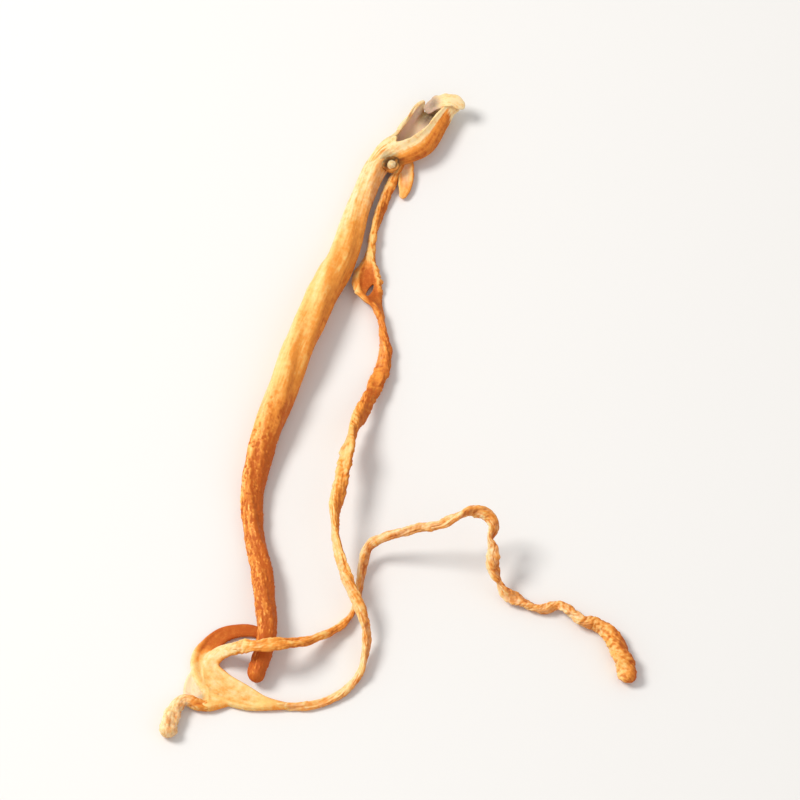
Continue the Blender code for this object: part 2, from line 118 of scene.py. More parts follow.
SIDE_ROUTE = (
    (2.3, 29.4, 0.75, 1.05, 0.90),
    (1.8, 28.0, 0.60, 1.10, 0.90),
    (1.0, 25.9, 0.60, 1.10, 0.90),
    (0.2, 23.2, 0.65, 1.10, 0.85),
    (-0.2, 20.8, 0.75, 1.10, 0.85),
    (-0.4, 19.2, 0.80, 1.45, 0.62),
    (-0.55, 17.7, 0.80, 2.60, 0.36),
    (-0.6, 16.3, 0.80, 3.20, 0.30),
    (-0.25, 14.9, 0.78, 2.80, 0.34),
    (0.35, 13.5, 0.75, 1.80, 0.50),
    (0.8, 12.2, 0.72, 1.35, 0.68),
    (1.1, 9.9, 0.65, 1.55, 0.66),
    (1.3, 8.0, 0.60, 1.80, 0.58),
    (0.9, 5.9, 0.80, 1.90, 0.55),
    (0.2, 3.9, 1.20, 1.80, 0.62),
    (-0.7, 1.3, 1.75, 1.80, 0.62),
    (-1.8, -1.3, 2.30, 1.85, 0.62),
    (-2.4, -3.6, 2.80, 1.85, 0.65),
    (-2.9, -6.3, 3.30, 1.65, 0.70),
    (-3.4, -9.1, 3.60, 1.50, 0.72),
    (-3.8, -11.8, 3.75, 1.40, 0.72),
    (-3.8, -14.2, 3.75, 1.35, 0.72),
    (-3.4, -16.7, 3.60, 1.25, 0.70),
    (-2.7, -19.1, 3.30, 1.30, 0.70),
    (-1.8, -21.1, 2.90, 1.30, 0.70),
    (-1.0, -23.0, 2.40, 1.35, 0.65),
    (-0.6, -24.8, 1.90, 1.30, 0.65),
    (-0.7, -26.5, 1.35, 1.25, 0.65),
    (-1.0, -28.2, 0.90, 1.20, 0.70),
    (-1.8, -29.7, 0.60, 1.10, 0.75),
    (-3.1, -31.0, 0.48, 1.00, 0.80),
    (-5.0, -32.1, 0.43, 0.90, 0.85),
    (-7.2, -32.5, 0.43, 0.90, 0.85),
    (-9.2, -32.4, 0.45, 0.95, 0.85),
)
SIDE_TAIL = ((-10.6, -32.2, 0.54, 0.78, 0.62),)
CURLY_LEAD = (
    (-15.3, -26.95, 1.35, 1.00, 0.70),
    (-14.7, -26.9, 1.85, 1.20, 0.70),
)
CURLY_ROUTE = (
    (-13.8, -27.0, 2.65, 1.40, 0.70),
    (-12.7, -27.2, 3.50, 1.45, 0.70),
    (-11.3, -27.3, 3.85, 1.45, 0.68),
    (-9.5, -27.0, 3.60, 1.45, 0.68),
    (-8.1, -26.6, 3.00, 1.40, 0.70),
    (-6.7, -26.0, 2.20, 1.30, 0.70),
    (-5.4, -25.1, 1.50, 1.25, 0.72),
    (-3.6, -23.9, 0.85, 1.20, 0.75),
    (-2.3, -22.5, 0.60, 1.15, 0.75),
    (-1.6, -20.7, 0.60, 1.15, 0.75),
    (-1.3, -18.7, 0.80, 1.15, 0.75),
    (-1.0, -16.8, 1.30, 1.15, 0.75),
    (-0.4, -15.2, 2.10, 1.15, 0.75),
    (1.1, -14.7, 3.10, 1.10, 0.75),
    (2.9, -14.6, 4.00, 1.05, 0.75),
    (4.7, -14.4, 4.80, 1.00, 0.75),
    (6.7, -14.4, 5.40, 1.00, 0.75),
    (7.9, -14.1, 5.80, 1.05, 0.75),
    (9.4, -13.3, 5.90, 1.15, 0.75),
    (10.5, -13.0, 5.80, 1.20, 0.75),
    (11.9, -13.5, 5.40, 1.20, 0.75),
    (12.4, -14.4, 4.90, 1.15, 0.75),
    (12.0, -15.4, 4.30, 1.15, 0.75),
    (12.3, -16.3, 3.80, 1.20, 0.75),
    (12.2, -17.4, 3.10, 1.20, 0.75),
    (12.5, -18.4, 2.40, 1.25, 0.75),
    (13.2, -19.6, 1.60, 1.25, 0.75),
    (14.0, -20.3, 1.00, 1.25, 0.75),
    (15.3, -20.8, 0.70, 1.20, 0.75),
    (16.7, -21.5, 0.60, 1.25, 0.75),
    (17.8, -21.6, 0.70, 1.20, 0.78),
    (19.0, -21.3, 0.90, 1.20, 0.80),
    (20.3, -22.2, 1.05, 1.35, 0.80),
    (21.5, -23.2, 1.00, 1.50, 0.80),
    (22.7, -23.4, 0.90, 1.45, 0.82),
    (23.8, -24.2, 0.88, 1.60, 0.85),
    (24.8, -25.8, 0.92, 1.90, 0.88),
    (25.5, -27.6, 0.93, 1.95, 0.90),
    (26.2, -30.0, 0.87, 1.75, 0.90),
)
CLUB_LEAD = (
    (-15.5, -32.25, 0.50, 0.60, 0.60),
    (-16.0, -32.42, 0.54, 0.85, 0.75),
)
CLUB_ROUTE = (
    (-16.5, -32.5, 0.58, 1.10, 0.90),
    (-17.6, -32.4, 0.70, 1.15, 0.90),
    (-18.8, -32.0, 0.90, 1.20, 0.90),
    (-19.7, -32.7, 1.00, 1.40, 0.90),
    (-20.3, -34.1, 0.98, 1.65, 0.90),
    (-20.8, -36.1, 0.95, 1.75, 0.90),
)
FORK_LEAD = ((-8.3, -32.45, 0.45, 0.70, 0.85),)
FORK_ROUTE = (
    (-9.2, -32.4, 0.45, 0.95, 0.85),
    (-10.9, -32.2, 0.48, 1.50, 0.65),
    (-12.3, -31.8, 0.50, 2.30, 0.45),
    (-14.0, -31.1, 0.50, 3.10, 0.35),
    (-15.6, -30.1, 0.50, 3.50, 0.30),
    (-16.8, -28.6, 0.50, 3.00, 0.33),
    (-17.0, -27.0, 0.50, 2.60, 0.36),
    (-16.4, -25.7, 0.45, 2.10, 0.42),
    (-15.4, -24.6, 0.42, 1.75, 0.48),
    (-14.0, -24.0, 0.38, 1.50, 0.50),
    (-12.5, -23.9, 0.35, 1.40, 0.50),
    (-11.1, -24.3, 0.33, 1.25, 0.52),
)
CURLY_ROOT = (
    (-16.8, -28.4, 0.42, 1.30, 0.32),
    (-16.4, -27.5, 0.52, 1.80, 0.38),
    (-15.6, -26.95, 1.00, 1.75, 0.50),
    (-14.8, -26.9, 1.75, 1.52, 0.64),
    (-13.8, -27.0, 2.65, 1.28, 0.68),
    (-13.0, -27.15, 3.28, 0.90, 0.65),
)
CLUB_ROOT = (
    (-13.4, -31.5, 0.34, 0.60, 0.40),
    (-14.5, -31.9, 0.42, 1.00, 0.46),
    (-15.7, -32.3, 0.52, 1.20, 0.68),
    (-16.5, -32.5, 0.58, 1.18, 0.88),
    (-17.3, -32.5, 0.66, 0.85, 0.90),
)
MEMBRANE_ROUTE = (
    (-17.4, -28.3, 0.36, 1.00, 0.20),
    (-17.8, -29.3, 0.38, 1.90, 0.14),
    (-17.9, -30.3, 0.42, 2.50, 0.12),
    (-17.7, -31.2, 0.54, 3.00, 0.12),
    (-17.4, -32.9, 0.62, 2.60, 0.16),
)
BASE_LEAD = ((-0.1, 29.1, 1.27, 1.90, 0.95),)
BASE_ROUTE = (
    (0.4, 30.05, 1.30, 2.50, 0.95),
    (1.2, 31.0, 1.35, 2.90, 0.90),
    (2.5, 31.9, 1.35, 3.60, 0.80),
    (4.1, 33.0, 1.40, 4.40, 0.66),
    (5.3, 34.6, 1.45, 4.40, 0.64),
    (6.3, 36.2, 1.50, 3.90, 0.66),
    (7.3, 37.5, 1.60, 3.30, 0.70),
    (8.5, 38.5, 1.75, 2.70, 0.75),
)
FLAP_ROUTE = (
    (2.6, 33.0, 1.10, 1.50, 0.60),
    (2.9, 32.2, 0.90, 1.80, 0.50),
    (3.3, 30.6, 0.75, 1.95, 0.38),
    (3.4, 29.0, 0.62, 1.75, 0.36),
    (3.3, 27.7, 0.56, 1.30, 0.40),
    (3.0, 26.6, 0.52, 0.70, 0.55),
)
TONGUE_ROUTE = (
    (5.5, 36.9, 1.05, 0.90, 0.32),
    (6.0, 37.1, 1.60, 1.35, 0.24),
    (6.7, 37.3, 2.20, 1.60, 0.19),
    (7.5, 37.4, 2.60, 1.70, 0.18),
    (8.4, 37.3, 2.75, 1.60, 0.18),
    (9.1, 36.9, 2.60, 1.25, 0.22),
    (9.6, 36.5, 2.30, 0.65, 0.34),
)

# The mouth of the base, torn open on its upper left.
BASE_WALL = 0.36  # mm
MOUTH_CUT = 0.56  # how far the mouth is torn back on one side, as a part of the base's length
MOUTH_CUT_WIDTH = 0.80  # radians to each side
MOUTH_CUT_ANGLE = 2.04  # radians round the base, from its right side over its top
MOUTH_SLANT = 0.18  # how much shorter the left side is than the right, as a part of the length
RIM_TEETH = ((5, 0.6, 0.025), (3, 2.0, 0.020), (8, 1.1, 0.012))  # number, start, depth
BUD_PLACE = (1.75, 30.1, 1.85)  # mm
BUD_AIM = (0.25, -0.60, 0.75)

# How each stalk dried. furrows: number round the section and depth as a part of the radius;
# turn: radians for each mm that its flat section turns; calm: mm at its start that hardly turn;
# lump: how deep its dents are, as a part of the radius; lump_size: how far apart they are, in mm.
THICK_SKIN = {
    "furrows": ((3, 0.05), (5, 0.045)), "turn": 0.022, "calm": 0.0, "lump": 0.07, "lump_size": 2.4,
}
SIDE_SKIN = {
    "furrows": ((2, 0.08), (3, 0.07)), "turn": 0.24, "calm": 0.0, "lump": 0.12, "lump_size": 1.8,
}
CURLY_SKIN = {
    "furrows": ((2, 0.10), (3, 0.08)), "turn": 0.62, "calm": 30.0, "lump": 0.14, "lump_size": 1.5,
}
CLUB_SKIN = {"furrows": ((3, 0.06),), "turn": 0.10, "calm": 0.0, "lump": 0.10, "lump_size": 1.2}
FORK_SKIN = {"furrows": ((4, 0.04),), "turn": 0.0, "calm": 0.0, "lump": 0.08, "lump_size": 1.8}

CALM_SHARE = 0.155  # how much of its turn a calm stretch has

# Painted light on every stalk: the side that faces the key light is painted more golden and creamier.
PAINTED_LIGHT_SIDE = (-0.85, 0.10, 0.30)  # the way that the paler side of every stalk faces
PAINTED_LIGHT_GOLD = 0.44  # how much more golden it is
PAINTED_LIGHT_CREAM = 0.34  # how much creamier
CLUB_PAINTED_LIGHT_GOLD = 0.5  # how much stronger the golden side is on a grainy club
CLUB_LESS_PAINTED_CREAM = 0.6  # and how much weaker the creamy one

# What each point of a skin has beside its grain, all from 0 to 1: how golden it is, its own tone with
# painted shade in creases and painted light on the side facing the key light, how grainy, how creamy, how
# far in the hollow, and how dark brown.
MASKS = ("ridge", "club", "pale", "hollow", "scorch")

THIN_SIDES = 28  # of the tubes of the thin stalks
THIN_GRAIN = 0.7  # mm, the radius on which their streaks are drawn
VOXEL = 0.07  # mm, the detail that overlapping parts are fused with
SOFT_ROUNDS = 40  # of smoothing where parts join
NEAREST = 4  # points of the old mesh that each point of a new one takes its values from
NEARNESS = 0.02  # mm, added to their distances, so that none counts for all

# The numbers that mix whole numbers into steady noise, all prime.
SEED_PRIME, START_PRIME = 668265263, 374761393
MIXING_PRIME, LAST_PRIME = 2654435761, 2246822519


# ---------------------------------------------------------------- steady noise


def scattered(*whole, seed=0):
    """One steady number from 0 to 1 for each set of whole numbers."""
    mixed = np.full(whole[0].shape, (seed * SEED_PRIME + START_PRIME) % 2**32, np.uint32)
    for numbers in whole:
        mixed = (mixed ^ numbers.astype(np.int64).astype(np.uint32)) * np.uint32(MIXING_PRIME)
        mixed ^= mixed >> np.uint32(15)
    mixed = mixed * np.uint32(LAST_PRIME)
    mixed ^= mixed >> np.uint32(13)
    return mixed / 2.0**32


def soft_noise(points, seed=0):
    """Smooth noise from -1 to 1, with bumps about one unit apart."""
    low = np.floor(points).astype(np.int64)
    part = points - low
    part = part**3 * (part * (part * 6 - 15) + 10)
    total = np.zeros(len(points))
    for corner in np.ndindex(2, 2, 2):
        weight = np.prod(np.where(corner, part, 1 - part), axis=1)
        total += weight * scattered(*(low + corner).T, seed=seed)
    return 2 * total - 1


def rough_noise(points, seed=0, octaves=2):
    """Noise from -1 to 1 of several sizes, each half as large and half as strong as the last."""
    total = sum(0.5**k * soft_noise(points * 2.03**k + 5.7 * k, seed + k) for k in range(octaves))
    return total / (2 - 0.5 ** (octaves - 1))


def wrapped(angle, radius, height):
    """Places on a tube of this radius, where noise meets itself all the way round."""
    return np.column_stack([np.cos(angle) * radius, np.sin(angle) * radius, height])


def flow(along, angle, around, length, seed, octaves=2):
    """Noise in streaks that run along a stalk: bumps around to one radian, one length mm long."""
    return rough_noise(wrapped(angle, around, along / length), seed, octaves)


def creased(value):
    """Sharp creases where smooth noise crosses zero, from 0 in the crease to 1."""
    return np.minimum(np.abs(value) * 2.6, 1.0)


def step_up(value, low, high):
    """0 below low, 1 above high, and a smooth rise between them."""
    t = np.clip((value - low) / (high - low), 0, 1)
    return t * t * (3 - 2 * t)


def cells_round(turns, rise, count, seed):
    """Cells scattered over a tube, with this count round it: how far each point is from the
    nearest cell's middle, and that cell's own number from 0 to 1."""
    u = turns * count
    near, own = np.full(u.shape, 9.0), np.zeros(u.shape)
    for du, dv in np.ndindex(3, 3):
        cu, cv = np.floor(u) + du - 1, np.floor(rise) + dv - 1
        cell = (np.mod(cu, count), cv)
        away = np.hypot(
            u - cu - 0.1 - 0.8 * scattered(*cell, seed=seed),
            rise - cv - 0.1 - 0.8 * scattered(*cell, seed=seed + 1),
        )
        own = np.where(away < near, scattered(*cell, seed=seed + 2), own)
        near = np.minimum(near, away)
    return near, own


# ---------------------------------------------------------------- modelling tools


def deselect_all():
    if bpy.context.mode != "OBJECT":
        bpy.ops.object.mode_set(mode="OBJECT")
    bpy.ops.object.select_all(action="DESELECT")


def select_only(obj):
    deselect_all()
    obj.select_set(True)
    bpy.context.view_layer.objects.active = obj


def points_of(obj, field="co"):
    """The points of the mesh as rows of x, y and z, or their normals."""
    points = np.empty(len(obj.data.vertices) * 3)
    obj.data.vertices.foreach_get(field, points)
    return points.reshape(-1, 3)


def move_points(obj, points):
    obj.data.vertices.foreach_set("co", points.ravel())
    obj.data.update()


def read_attribute(obj, name, width=1):
    layer = obj.data.attributes[name].data
    values = np.empty(len(layer) * width)
    layer.foreach_get("vector" if width == 3 else "value", values)
    return values.reshape(-1, 3) if width == 3 else values


def write_attribute(obj, name, values):
    wide = values.ndim == 2
    layer = obj.data.attributes.new(name, "FLOAT_VECTOR" if wide else "FLOAT", "POINT")
    layer.data.foreach_set("vector" if wide else "value", values.ravel())


def apply_modifier(obj, kind, **settings):
    select_only(obj)
    modifier = obj.modifiers.new(kind.lower(), kind)
    for key, value in settings.items():
        setattr(modifier, key, value)
    bpy.ops.object.modifier_apply(modifier=modifier.name)


def edit_all(obj, **tools):
    """Runs edit mode tools on the whole mesh: the name of each, and its settings."""
    select_only(obj)
    bpy.ops.object.mode_set(mode="EDIT")
    bpy.ops.mesh.select_all(action="SELECT")
    for tool, settings in tools.items():
        getattr(bpy.ops.mesh, tool)(**settings)
    bpy.ops.object.mode_set(mode="OBJECT")


def close_mesh(obj, apart=1e-5):
    """Merges points that are no further apart than this, and turns every face outwards."""
    edit_all(obj, remove_doubles={"threshold": apart}, normals_make_consistent={"inside": False})


def draw_tube(name, centres, radii, sides, caps=True):
    """A round tube drawn with the path tool and made a mesh: the points of its caps, then its rings."""
    deselect_all()
    bpy.ops.curve.primitive_nurbs_path_add(location=(0, 0, 0))
    curve = bpy.context.object.data
    curve.splines.clear()
    line = curve.splines.new("POLY")
    line.points.add(len(centres) - 1)
    line.points.foreach_set("co", np.column_stack([centres, np.ones(len(centres))]).ravel())
    line.points.foreach_set("radius", np.asarray(radii, float))
    curve.bevel_depth = 1.0
    curve.bevel_resolution = (sides - 4) // 2
    curve.use_fill_caps = caps
    bpy.ops.object.convert(target="MESH")
    tube = bpy.context.object
    tube.name = tube.data.name = name
    return tube


def soften(obj, place, reach):
    """Smooths the surface within reach of a place, so that what joins there seems grown together."""
    away = np.linalg.norm(points_of(obj) - np.array(place), axis=1)
    group = obj.vertex_groups.new(name="soft")
    for index in np.flatnonzero(away < 2 * reach):
        group.add([int(index)], float(math.exp(-((away[index] / reach) ** 2))), "REPLACE")
    apply_modifier(obj, "SMOOTH", factor=0.6, iterations=SOFT_ROUNDS, vertex_group=group.name)
    obj.vertex_groups.clear()


def drop_specks(obj):
    """Keeps only the part of the mesh that its highest point is on."""
    highest = int(np.argmax(points_of(obj)[:, 2]))
    select_only(obj)
    bpy.ops.object.mode_set(mode="EDIT")
    bpy.ops.mesh.select_mode(type="VERT")
    bpy.ops.mesh.select_all(action="DESELECT")
    bpy.ops.object.mode_set(mode="OBJECT")
    obj.data.vertices[highest].select = True
    bpy.ops.object.mode_set(mode="EDIT")
    bpy.ops.mesh.select_linked()
    bpy.ops.mesh.select_all(action="INVERT")
    bpy.ops.mesh.delete(type="VERT")
    bpy.ops.object.mode_set(mode="OBJECT")


def inherit(obj, old_points, old_values):
    """The old mesh's values at the points of the new one, each from the nearest old points."""
    tree = kdtree.KDTree(len(old_points))
    for i, point in enumerate(old_points):
        tree.insert(point, i)
    tree.balance()
    points = points_of(obj)
    index, weight = np.empty((len(points), NEAREST), int), np.empty((len(points), NEAREST))
    for row, point in enumerate(points):
        for column, (_, i, away) in enumerate(tree.find_n(point, NEAREST)):
            index[row, column], weight[row, column] = i, 1 / (away + NEARNESS)
    weight /= weight.sum(axis=1, keepdims=True)
    return np.einsum("nk,nkc->nc", weight, old_values[index])


def fuse(name, parts, smooth):
    """One closed mesh of several that overlap, with the values of each carried over.
    smooth: how many times its surface is smoothed."""
    values = np.vstack([np.column_stack(columns) for _, columns in parts])
    old_points = np.vstack([points_of(obj) for obj, _ in parts])
    deselect_all()
    for obj, _ in parts:
        obj.select_set(True)
    whole = parts[0][0]
    bpy.context.view_layer.objects.active = whole
    bpy.ops.object.join()
    whole.name = whole.data.name = name
    apply_modifier(whole, "REMESH", mode="VOXEL", voxel_size=VOXEL, adaptivity=0.0)
    drop_specks(whole)
    apply_modifier(whole, "SMOOTH", factor=0.5, iterations=smooth)
    return whole, inherit(whole, old_points, values)


def finish_piece(obj, node, slot, material, grain, ridge, pale, club=0.0, hollow=0.0, scorch=0.0):
    """Puts the mesh, drawn in mm, in its place in metres, and gives it its finish. grain: the
    place that the streaks of its skin follow. The rest are the masks that MASKS lists. It also paints light
    into them: the side that faces the key light is more golden and creamier."""
    points = points_of(obj)
    points[:, :2] -= FOOTPRINT_MIDDLE
    points[:, 2] = np.maximum(points[:, 2] - SETTLE, 0.0)
    move_points(obj, points * MM)
    # Painted light: the side that faces the key light is painted more golden and creamier, more golden still
    # and less creamy on a club.
    lit = points_of(obj, "normal") @ unit(np.array(PAINTED_LIGHT_SIDE))
    ridge = ridge + PAINTED_LIGHT_GOLD * lit * (1 + CLUB_PAINTED_LIGHT_GOLD * club)
    pale = pale + PAINTED_LIGHT_CREAM * step_up(lit, 0.1, 1.0) * (1 - CLUB_LESS_PAINTED_CREAM * club)
    write_attribute(obj, "grain", grain)
    for name, mask in zip(MASKS, (ridge, club, pale, hollow, scorch)):
        write_attribute(obj, name, np.clip(mask + np.zeros(len(points)), 0, 1))
    select_only(obj)
    bpy.ops.object.shade_smooth()
    obj.data.materials.clear()
    obj.data.materials.append(material)
    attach(obj, "root")
    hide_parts(node)


# ---------------------------------------------------------------- routes and stalks


def unit(vectors):
    return vectors / np.linalg.norm(vectors, axis=-1, keepdims=True)


class Route:
    """A stalk's middle line as a smooth curve: even points, their directions and the sections."""

    def __init__(self, rows, lead=(), tail=(), round_start=False, round_end=False):
        rows = np.array([*lead, *rows, *tail], float)
        ends = np.vstack([2 * rows[0] - rows[1], rows, 2 * rows[-1] - rows[-2]])
        t = (np.arange(ROUTE_STEPS) / ROUTE_STEPS)[:, None]
        spans = [
            0.5 * (2 * b + (c - a) * t + (2 * a - 5 * b + 4 * c - d) * t**2
                   + (3 * b - a - 3 * c + d) * t**3)
            for a, b, c, d in zip(ends, ends[1:], ends[2:], ends[3:])
        ]
        points = np.vstack([*spans, rows[-1:]])
        run = np.linalg.norm(np.diff(points[:, :3], axis=0), axis=1)
        run = np.concatenate([[0.0], np.cumsum(run)])
        self.lead = run[len(lead) * ROUTE_STEPS]
        self.length = run[-1]
        self.run = np.linspace(0, self.length, int(self.length / ROUTE_STEP) + 2)
        self.rows = np.stack([np.interp(self.run, run, column) for column in points.T], axis=1)
        count, reach = len(self.run), round(TANGENT_REACH / ROUTE_STEP)
        after = np.minimum(np.arange(count) + reach, count - 1)
        before = np.maximum(np.arange(count) - reach, 0)
        self.tangents = unit(self.rows[after, :3] - self.rows[before, :3])
        self.start = self.rows[0, 3] / 2 if round_start else 0.0
        self.end = self.rows[-1, 3] / 2 if round_end else 0.0

    def at(self, run):
        """The centre, direction, side and up at these places, half the width, and the flatness."""
        rows, tangent = (
            np.stack([np.interp(run, self.run, column) for column in table.T], axis=-1)
            for table in (self.rows, self.tangents)
        )
        tangent = unit(tangent)
        side = unit(np.cross(tangent, (0.0, 0.0, 1.0)))
        half = 0.5 * rows[:, 3]
        for radius, past in ((self.start, self.start - run), (self.end, run - self.length + self.end)):
            if radius:
                half = half * np.sqrt(1 - np.clip(past / radius, 0, 1) ** 2)
        return rows[:, :3], tangent, side, np.cross(side, tangent), half, rows[:, 4]

    def sections(self, run, skin):
        """The turned sections at these places: centre, wide and thin axis, half width, flatness."""
        centre, tangent, side, up, half, flat = self.at(run)
        past = run - self.lead
        past = CALM_SHARE * np.minimum(past, skin["calm"]) + np.maximum(past - skin["calm"], 0)
        angle = (skin["turn"] * past)[:, None]
        wide = side * np.cos(angle) + up * np.sin(angle)
        return centre, wide, np.cross(tangent, wide), half, flat

    def rings(self, spacing):
        """Where along the route a tube has its rings, closer together on a round tip."""
        low, high = self.start, self.length - self.end
        places = list(np.linspace(low, high, max(3, round((high - low) / spacing) + 1)))
        if self.start:
            places += [low - self.start * math.sin(math.radians(a)) for a in TIP_RINGS]
        if self.end:
            places += [high + self.end * math.sin(math.radians(a)) for a in TIP_RINGS]
        return np.array(sorted(places))


class Stalk:
    """A tube along a route, in mm, and what is known at each of its points: how far along and
    round the tube it is, the section there, and how far the dried stalk swells or shrinks."""

    def __init__(self, name, route, skin, seed, sides):
        run = self.add_tube(name, route, skin, sides)
        self.along = run - route.lead
        self.centre, self.wide, self.thin, half, self.flat = route.sections(run, skin)
        self.c, self.s = np.cos(self.angle), np.sin(self.angle)
        self.half = half * self.share
        self.outwards = self.wide * self.c[:, None] + self.thin * self.s[:, None]
        self.swell = np.ones(len(run))
        for number, depth in skin["furrows"]:
            self.swell += depth * np.cos(number * (self.angle + 1.7 + 0.12 * self.along))
        shift = Vector((seed * 7.3, seed * 3.1, seed * 1.9))
        places = (self.centre + self.outwards * self.half[:, None]) / skin["lump_size"]
        self.swell += skin["lump"] * np.array([noise.noise(Vector(place) + shift) for place in places])

    def add_tube(self, name, route, skin, sides):
        """Adds the tube, with faces about one step long, and returns how far along its points are."""
        rings = route.rings(2 * in_mm("step"))
        centre, wide, thin, half, _ = route.sections(rings, skin)
        self.obj = draw_tube(name, centre, half, sides)
        points = points_of(self.obj)
        caps = points[:len(points) - len(rings) * sides]
        at_end = np.linalg.norm(caps - centre[-1], axis=1) < np.linalg.norm(caps - centre[0], axis=1)
        last = len(rings) - 1
        ring = np.concatenate([np.where(at_end, last, 0), np.repeat(np.arange(len(rings)), sides)])
        offset = points - centre[ring]
        across, through = np.sum(offset * wide[ring], axis=1), np.sum(offset * thin[ring], axis=1)
        size = np.hypot(across, through)
        write_attribute(self.obj, "on_tube", np.column_stack([rings[ring], across / size, through / size]))
        close_mesh(self.obj)
        apply_modifier(self.obj, "SUBSURF", levels=1, render_levels=1)
        run, c, s = read_attribute(self.obj, "on_tube", 3).T
        self.obj.data.attributes.remove(self.obj.data.attributes["on_tube"])
        self.angle = np.arctan2(s, c)
        self.share = np.minimum(np.hypot(c, s) / math.cos(math.pi / sides) ** 2, 1.0)
        return run

    def shape(self, across, through, sag=0.0):
        """Moves each point to this far across and through its section, and this far up."""
        points = self.centre + self.wide * across[:, None] + self.thin * through[:, None]
        points[:, 2] += sag
        move_points(self.obj, points)

    def flow(self, around, length, seed, octaves=2):
        return flow(self.along, self.angle, around, length, seed, octaves)

    def grain(self, radius):
        return wrapped(self.angle, radius, self.along)


def stalk_skin(stalk, half, depth, seed, close, folded, stretch):
    """The fine relief of a smooth stalk in mm, and how high each point stands, from 0 to 1.
    close: how close together its folds are; folded: how deep they are beside the wrinkles;
    stretch: how long the wrinkles are, as a part of the longest."""
    along, wander = stalk.along, stalk.angle + 0.20 * stalk.flow(0.7, 4.0, seed + 7)
    folds = creased(flow(along, wander, close, 7.0 * stretch, seed))
    wrinkles = creased(flow(along, wander, 2.2 * close, 4.2 * stretch, seed + 1))
    fine = flow(along, wander, 4.6 * close, 2.0 * stretch, seed + 2)
    cross = stalk.flow(1.3, 0.50, seed + 3)
    grit = stalk.flow(4.0 * close, 0.34, seed + 4)
    relief = folded * (folds - 0.72) + 0.45 * (wrinkles - 0.65) + 0.24 * fine + 0.28 * cross + 0.26 * grit
    height = 0.22 * folded * folds + 0.18 * wrinkles + 0.14 * fine + 0.15 * cross + 0.17 * grit + 0.24
    return depth * relief * np.minimum(half, 1.0), height


def crinkles(stalk, seed):
    """The knobs and slanting creases of a shrivelled strand: relief and height, about -1 to 1."""
    along, angle = stalk.along, stalk.angle
    knobs = stalk.flow(0.0, 1.15, seed)
    lumps = stalk.flow(1.1, 0.85, seed + 1)
    slant = along / 0.62 + 0.55 * np.sin(angle + 0.4 * along)
    creases = creased(rough_noise(wrapped(angle, 0.8, slant), seed + 2))
    return 0.62 * knobs + 0.55 * lumps + 0.55 * (creases - 0.75), 0.5 * lumps + 0.9 * (creases - 0.75)


def club_grains(stalk, count, size, seed):
    """The grains of a club end, size mm long and this count round it: small raised dots between
    drawn-out pits. Relief and height."""
    reach = count / (2 * math.pi)
    pits = step_up(stalk.flow(1.20 * reach, 0.46 * size, seed + 5), 0.05, 0.45)
    gaps = step_up(stalk.flow(2.2 * reach, 0.28 * size, seed + 6), 0.15, 0.55)
    turns = np.mod(stalk.angle / (2 * math.pi) + 0.02 * stalk.flow(1.0, 1.6, seed + 9), 1.0)
    rise = stalk.along / (0.62 * size) + 0.35 * stalk.flow(2.0, 1.4, seed + 7)
    near, own = cells_round(turns, rise, count, seed)
    dots = step_up(own, 0.25, 0.6) * (1 - step_up(near, 0.08, 0.46))
    relief = 0.50 - 0.95 * pits - 0.35 * gaps + 0.85 * dots
    streaks = stalk.flow(1.5 * reach, 1.5, seed + 8)
    height = 0.61 - 0.64 * pits - 0.28 * gaps + 0.28 * dots + 0.42 * streaks
    return relief, height


def rimmed(c, web, rim, rises, cord_from):
    """Half the thickness across a section, where c goes from -1 to 1: a web between two round
    cords, and how far it has risen to them. rises: where it does; cord_from: where they start."""
    outer = np.clip((np.abs(c) - cord_from) / (1 - cord_from), 0, 1)
    edge = step_up(np.abs(c), *rises)
    half = np.where(np.abs(c) > cord_from, rim * np.sqrt(1 - outer**2), web + (rim - web) * edge)
    return half, edge


def thin_stalk(name, route, skin, seed, groove, crinkle, club, split=None):
    """A thin stalk that dried to a twisted ribbon with a groove on each face and knobby edges.
    crinkle, club and split say how strong each is at a place along it. The stalk, how high its
    points stand and how grainy they are."""
    stalk = Stalk(name, route, skin, seed, THIN_SIDES)
    along, c, s, half = stalk.along, stalk.c, stalk.s, stalk.half
    knobs, knob_tone = crinkles(stalk, seed + 31)
    grainy = club(along)
    open_groove = groove * (0.75 + 0.5 * stalk.flow(0.0, 3.0, seed + 4))
    open_groove = np.clip(open_groove, 0, 0.8) * (1 - 0.85 * grainy)
    lip = 1.12 - open_groove * (1 - np.abs(c) ** 1.5)
    depth = in_mm("wrinkle") * 0.85
    smooth, height = stalk_skin(stalk, half * 1.25, depth, seed + 50, close=1.7, folded=0.55, stretch=0.4)
    grains, grain_tone = club_grains(stalk, 11, in_mm("grain_length") * 0.9, seed + 60)
    relief = smooth * (1 - 0.5 * grainy) + grainy * (in_mm("grain_height") * grains + 0.05 * knobs)
    relief *= np.minimum(half / 0.5, 1.0)
    out = half * (stalk.swell + crinkle(along) * knobs)
    across = (out + relief) * c
    through = (out * lip + relief) * s * stalk.flat
    if split is not None:
        open_part = split(along)
        cords, edge = rimmed(c, web=0.11, rim=0.40, rises=(0.46, 0.70), cord_from=0.72)
        cords = cords * np.clip(s * 6, -1, 1) * (1 + 0.25 * knobs * edge)
        through = through * (1 - open_part) + cords * open_part
        height += open_part * (0.82 * edge - 0.66 + 1.6 * (height - 0.5) * (1 - edge))
    stalk.shape(across, through)
    valley = 1 - np.abs(c) ** 1.2
    # Deeper orange down the grooves and in the creases: partly its own colour, partly painted shade. A
    # grainy club takes the tone of its grains.
    ridge = (height + 0.06 - 0.42 * open_groove * valley + 0.30 * knob_tone) * (1 - grainy)
    ridge += (0.4 * height + 0.6 * grain_tone) * grainy
    return stalk, ridge, grainy


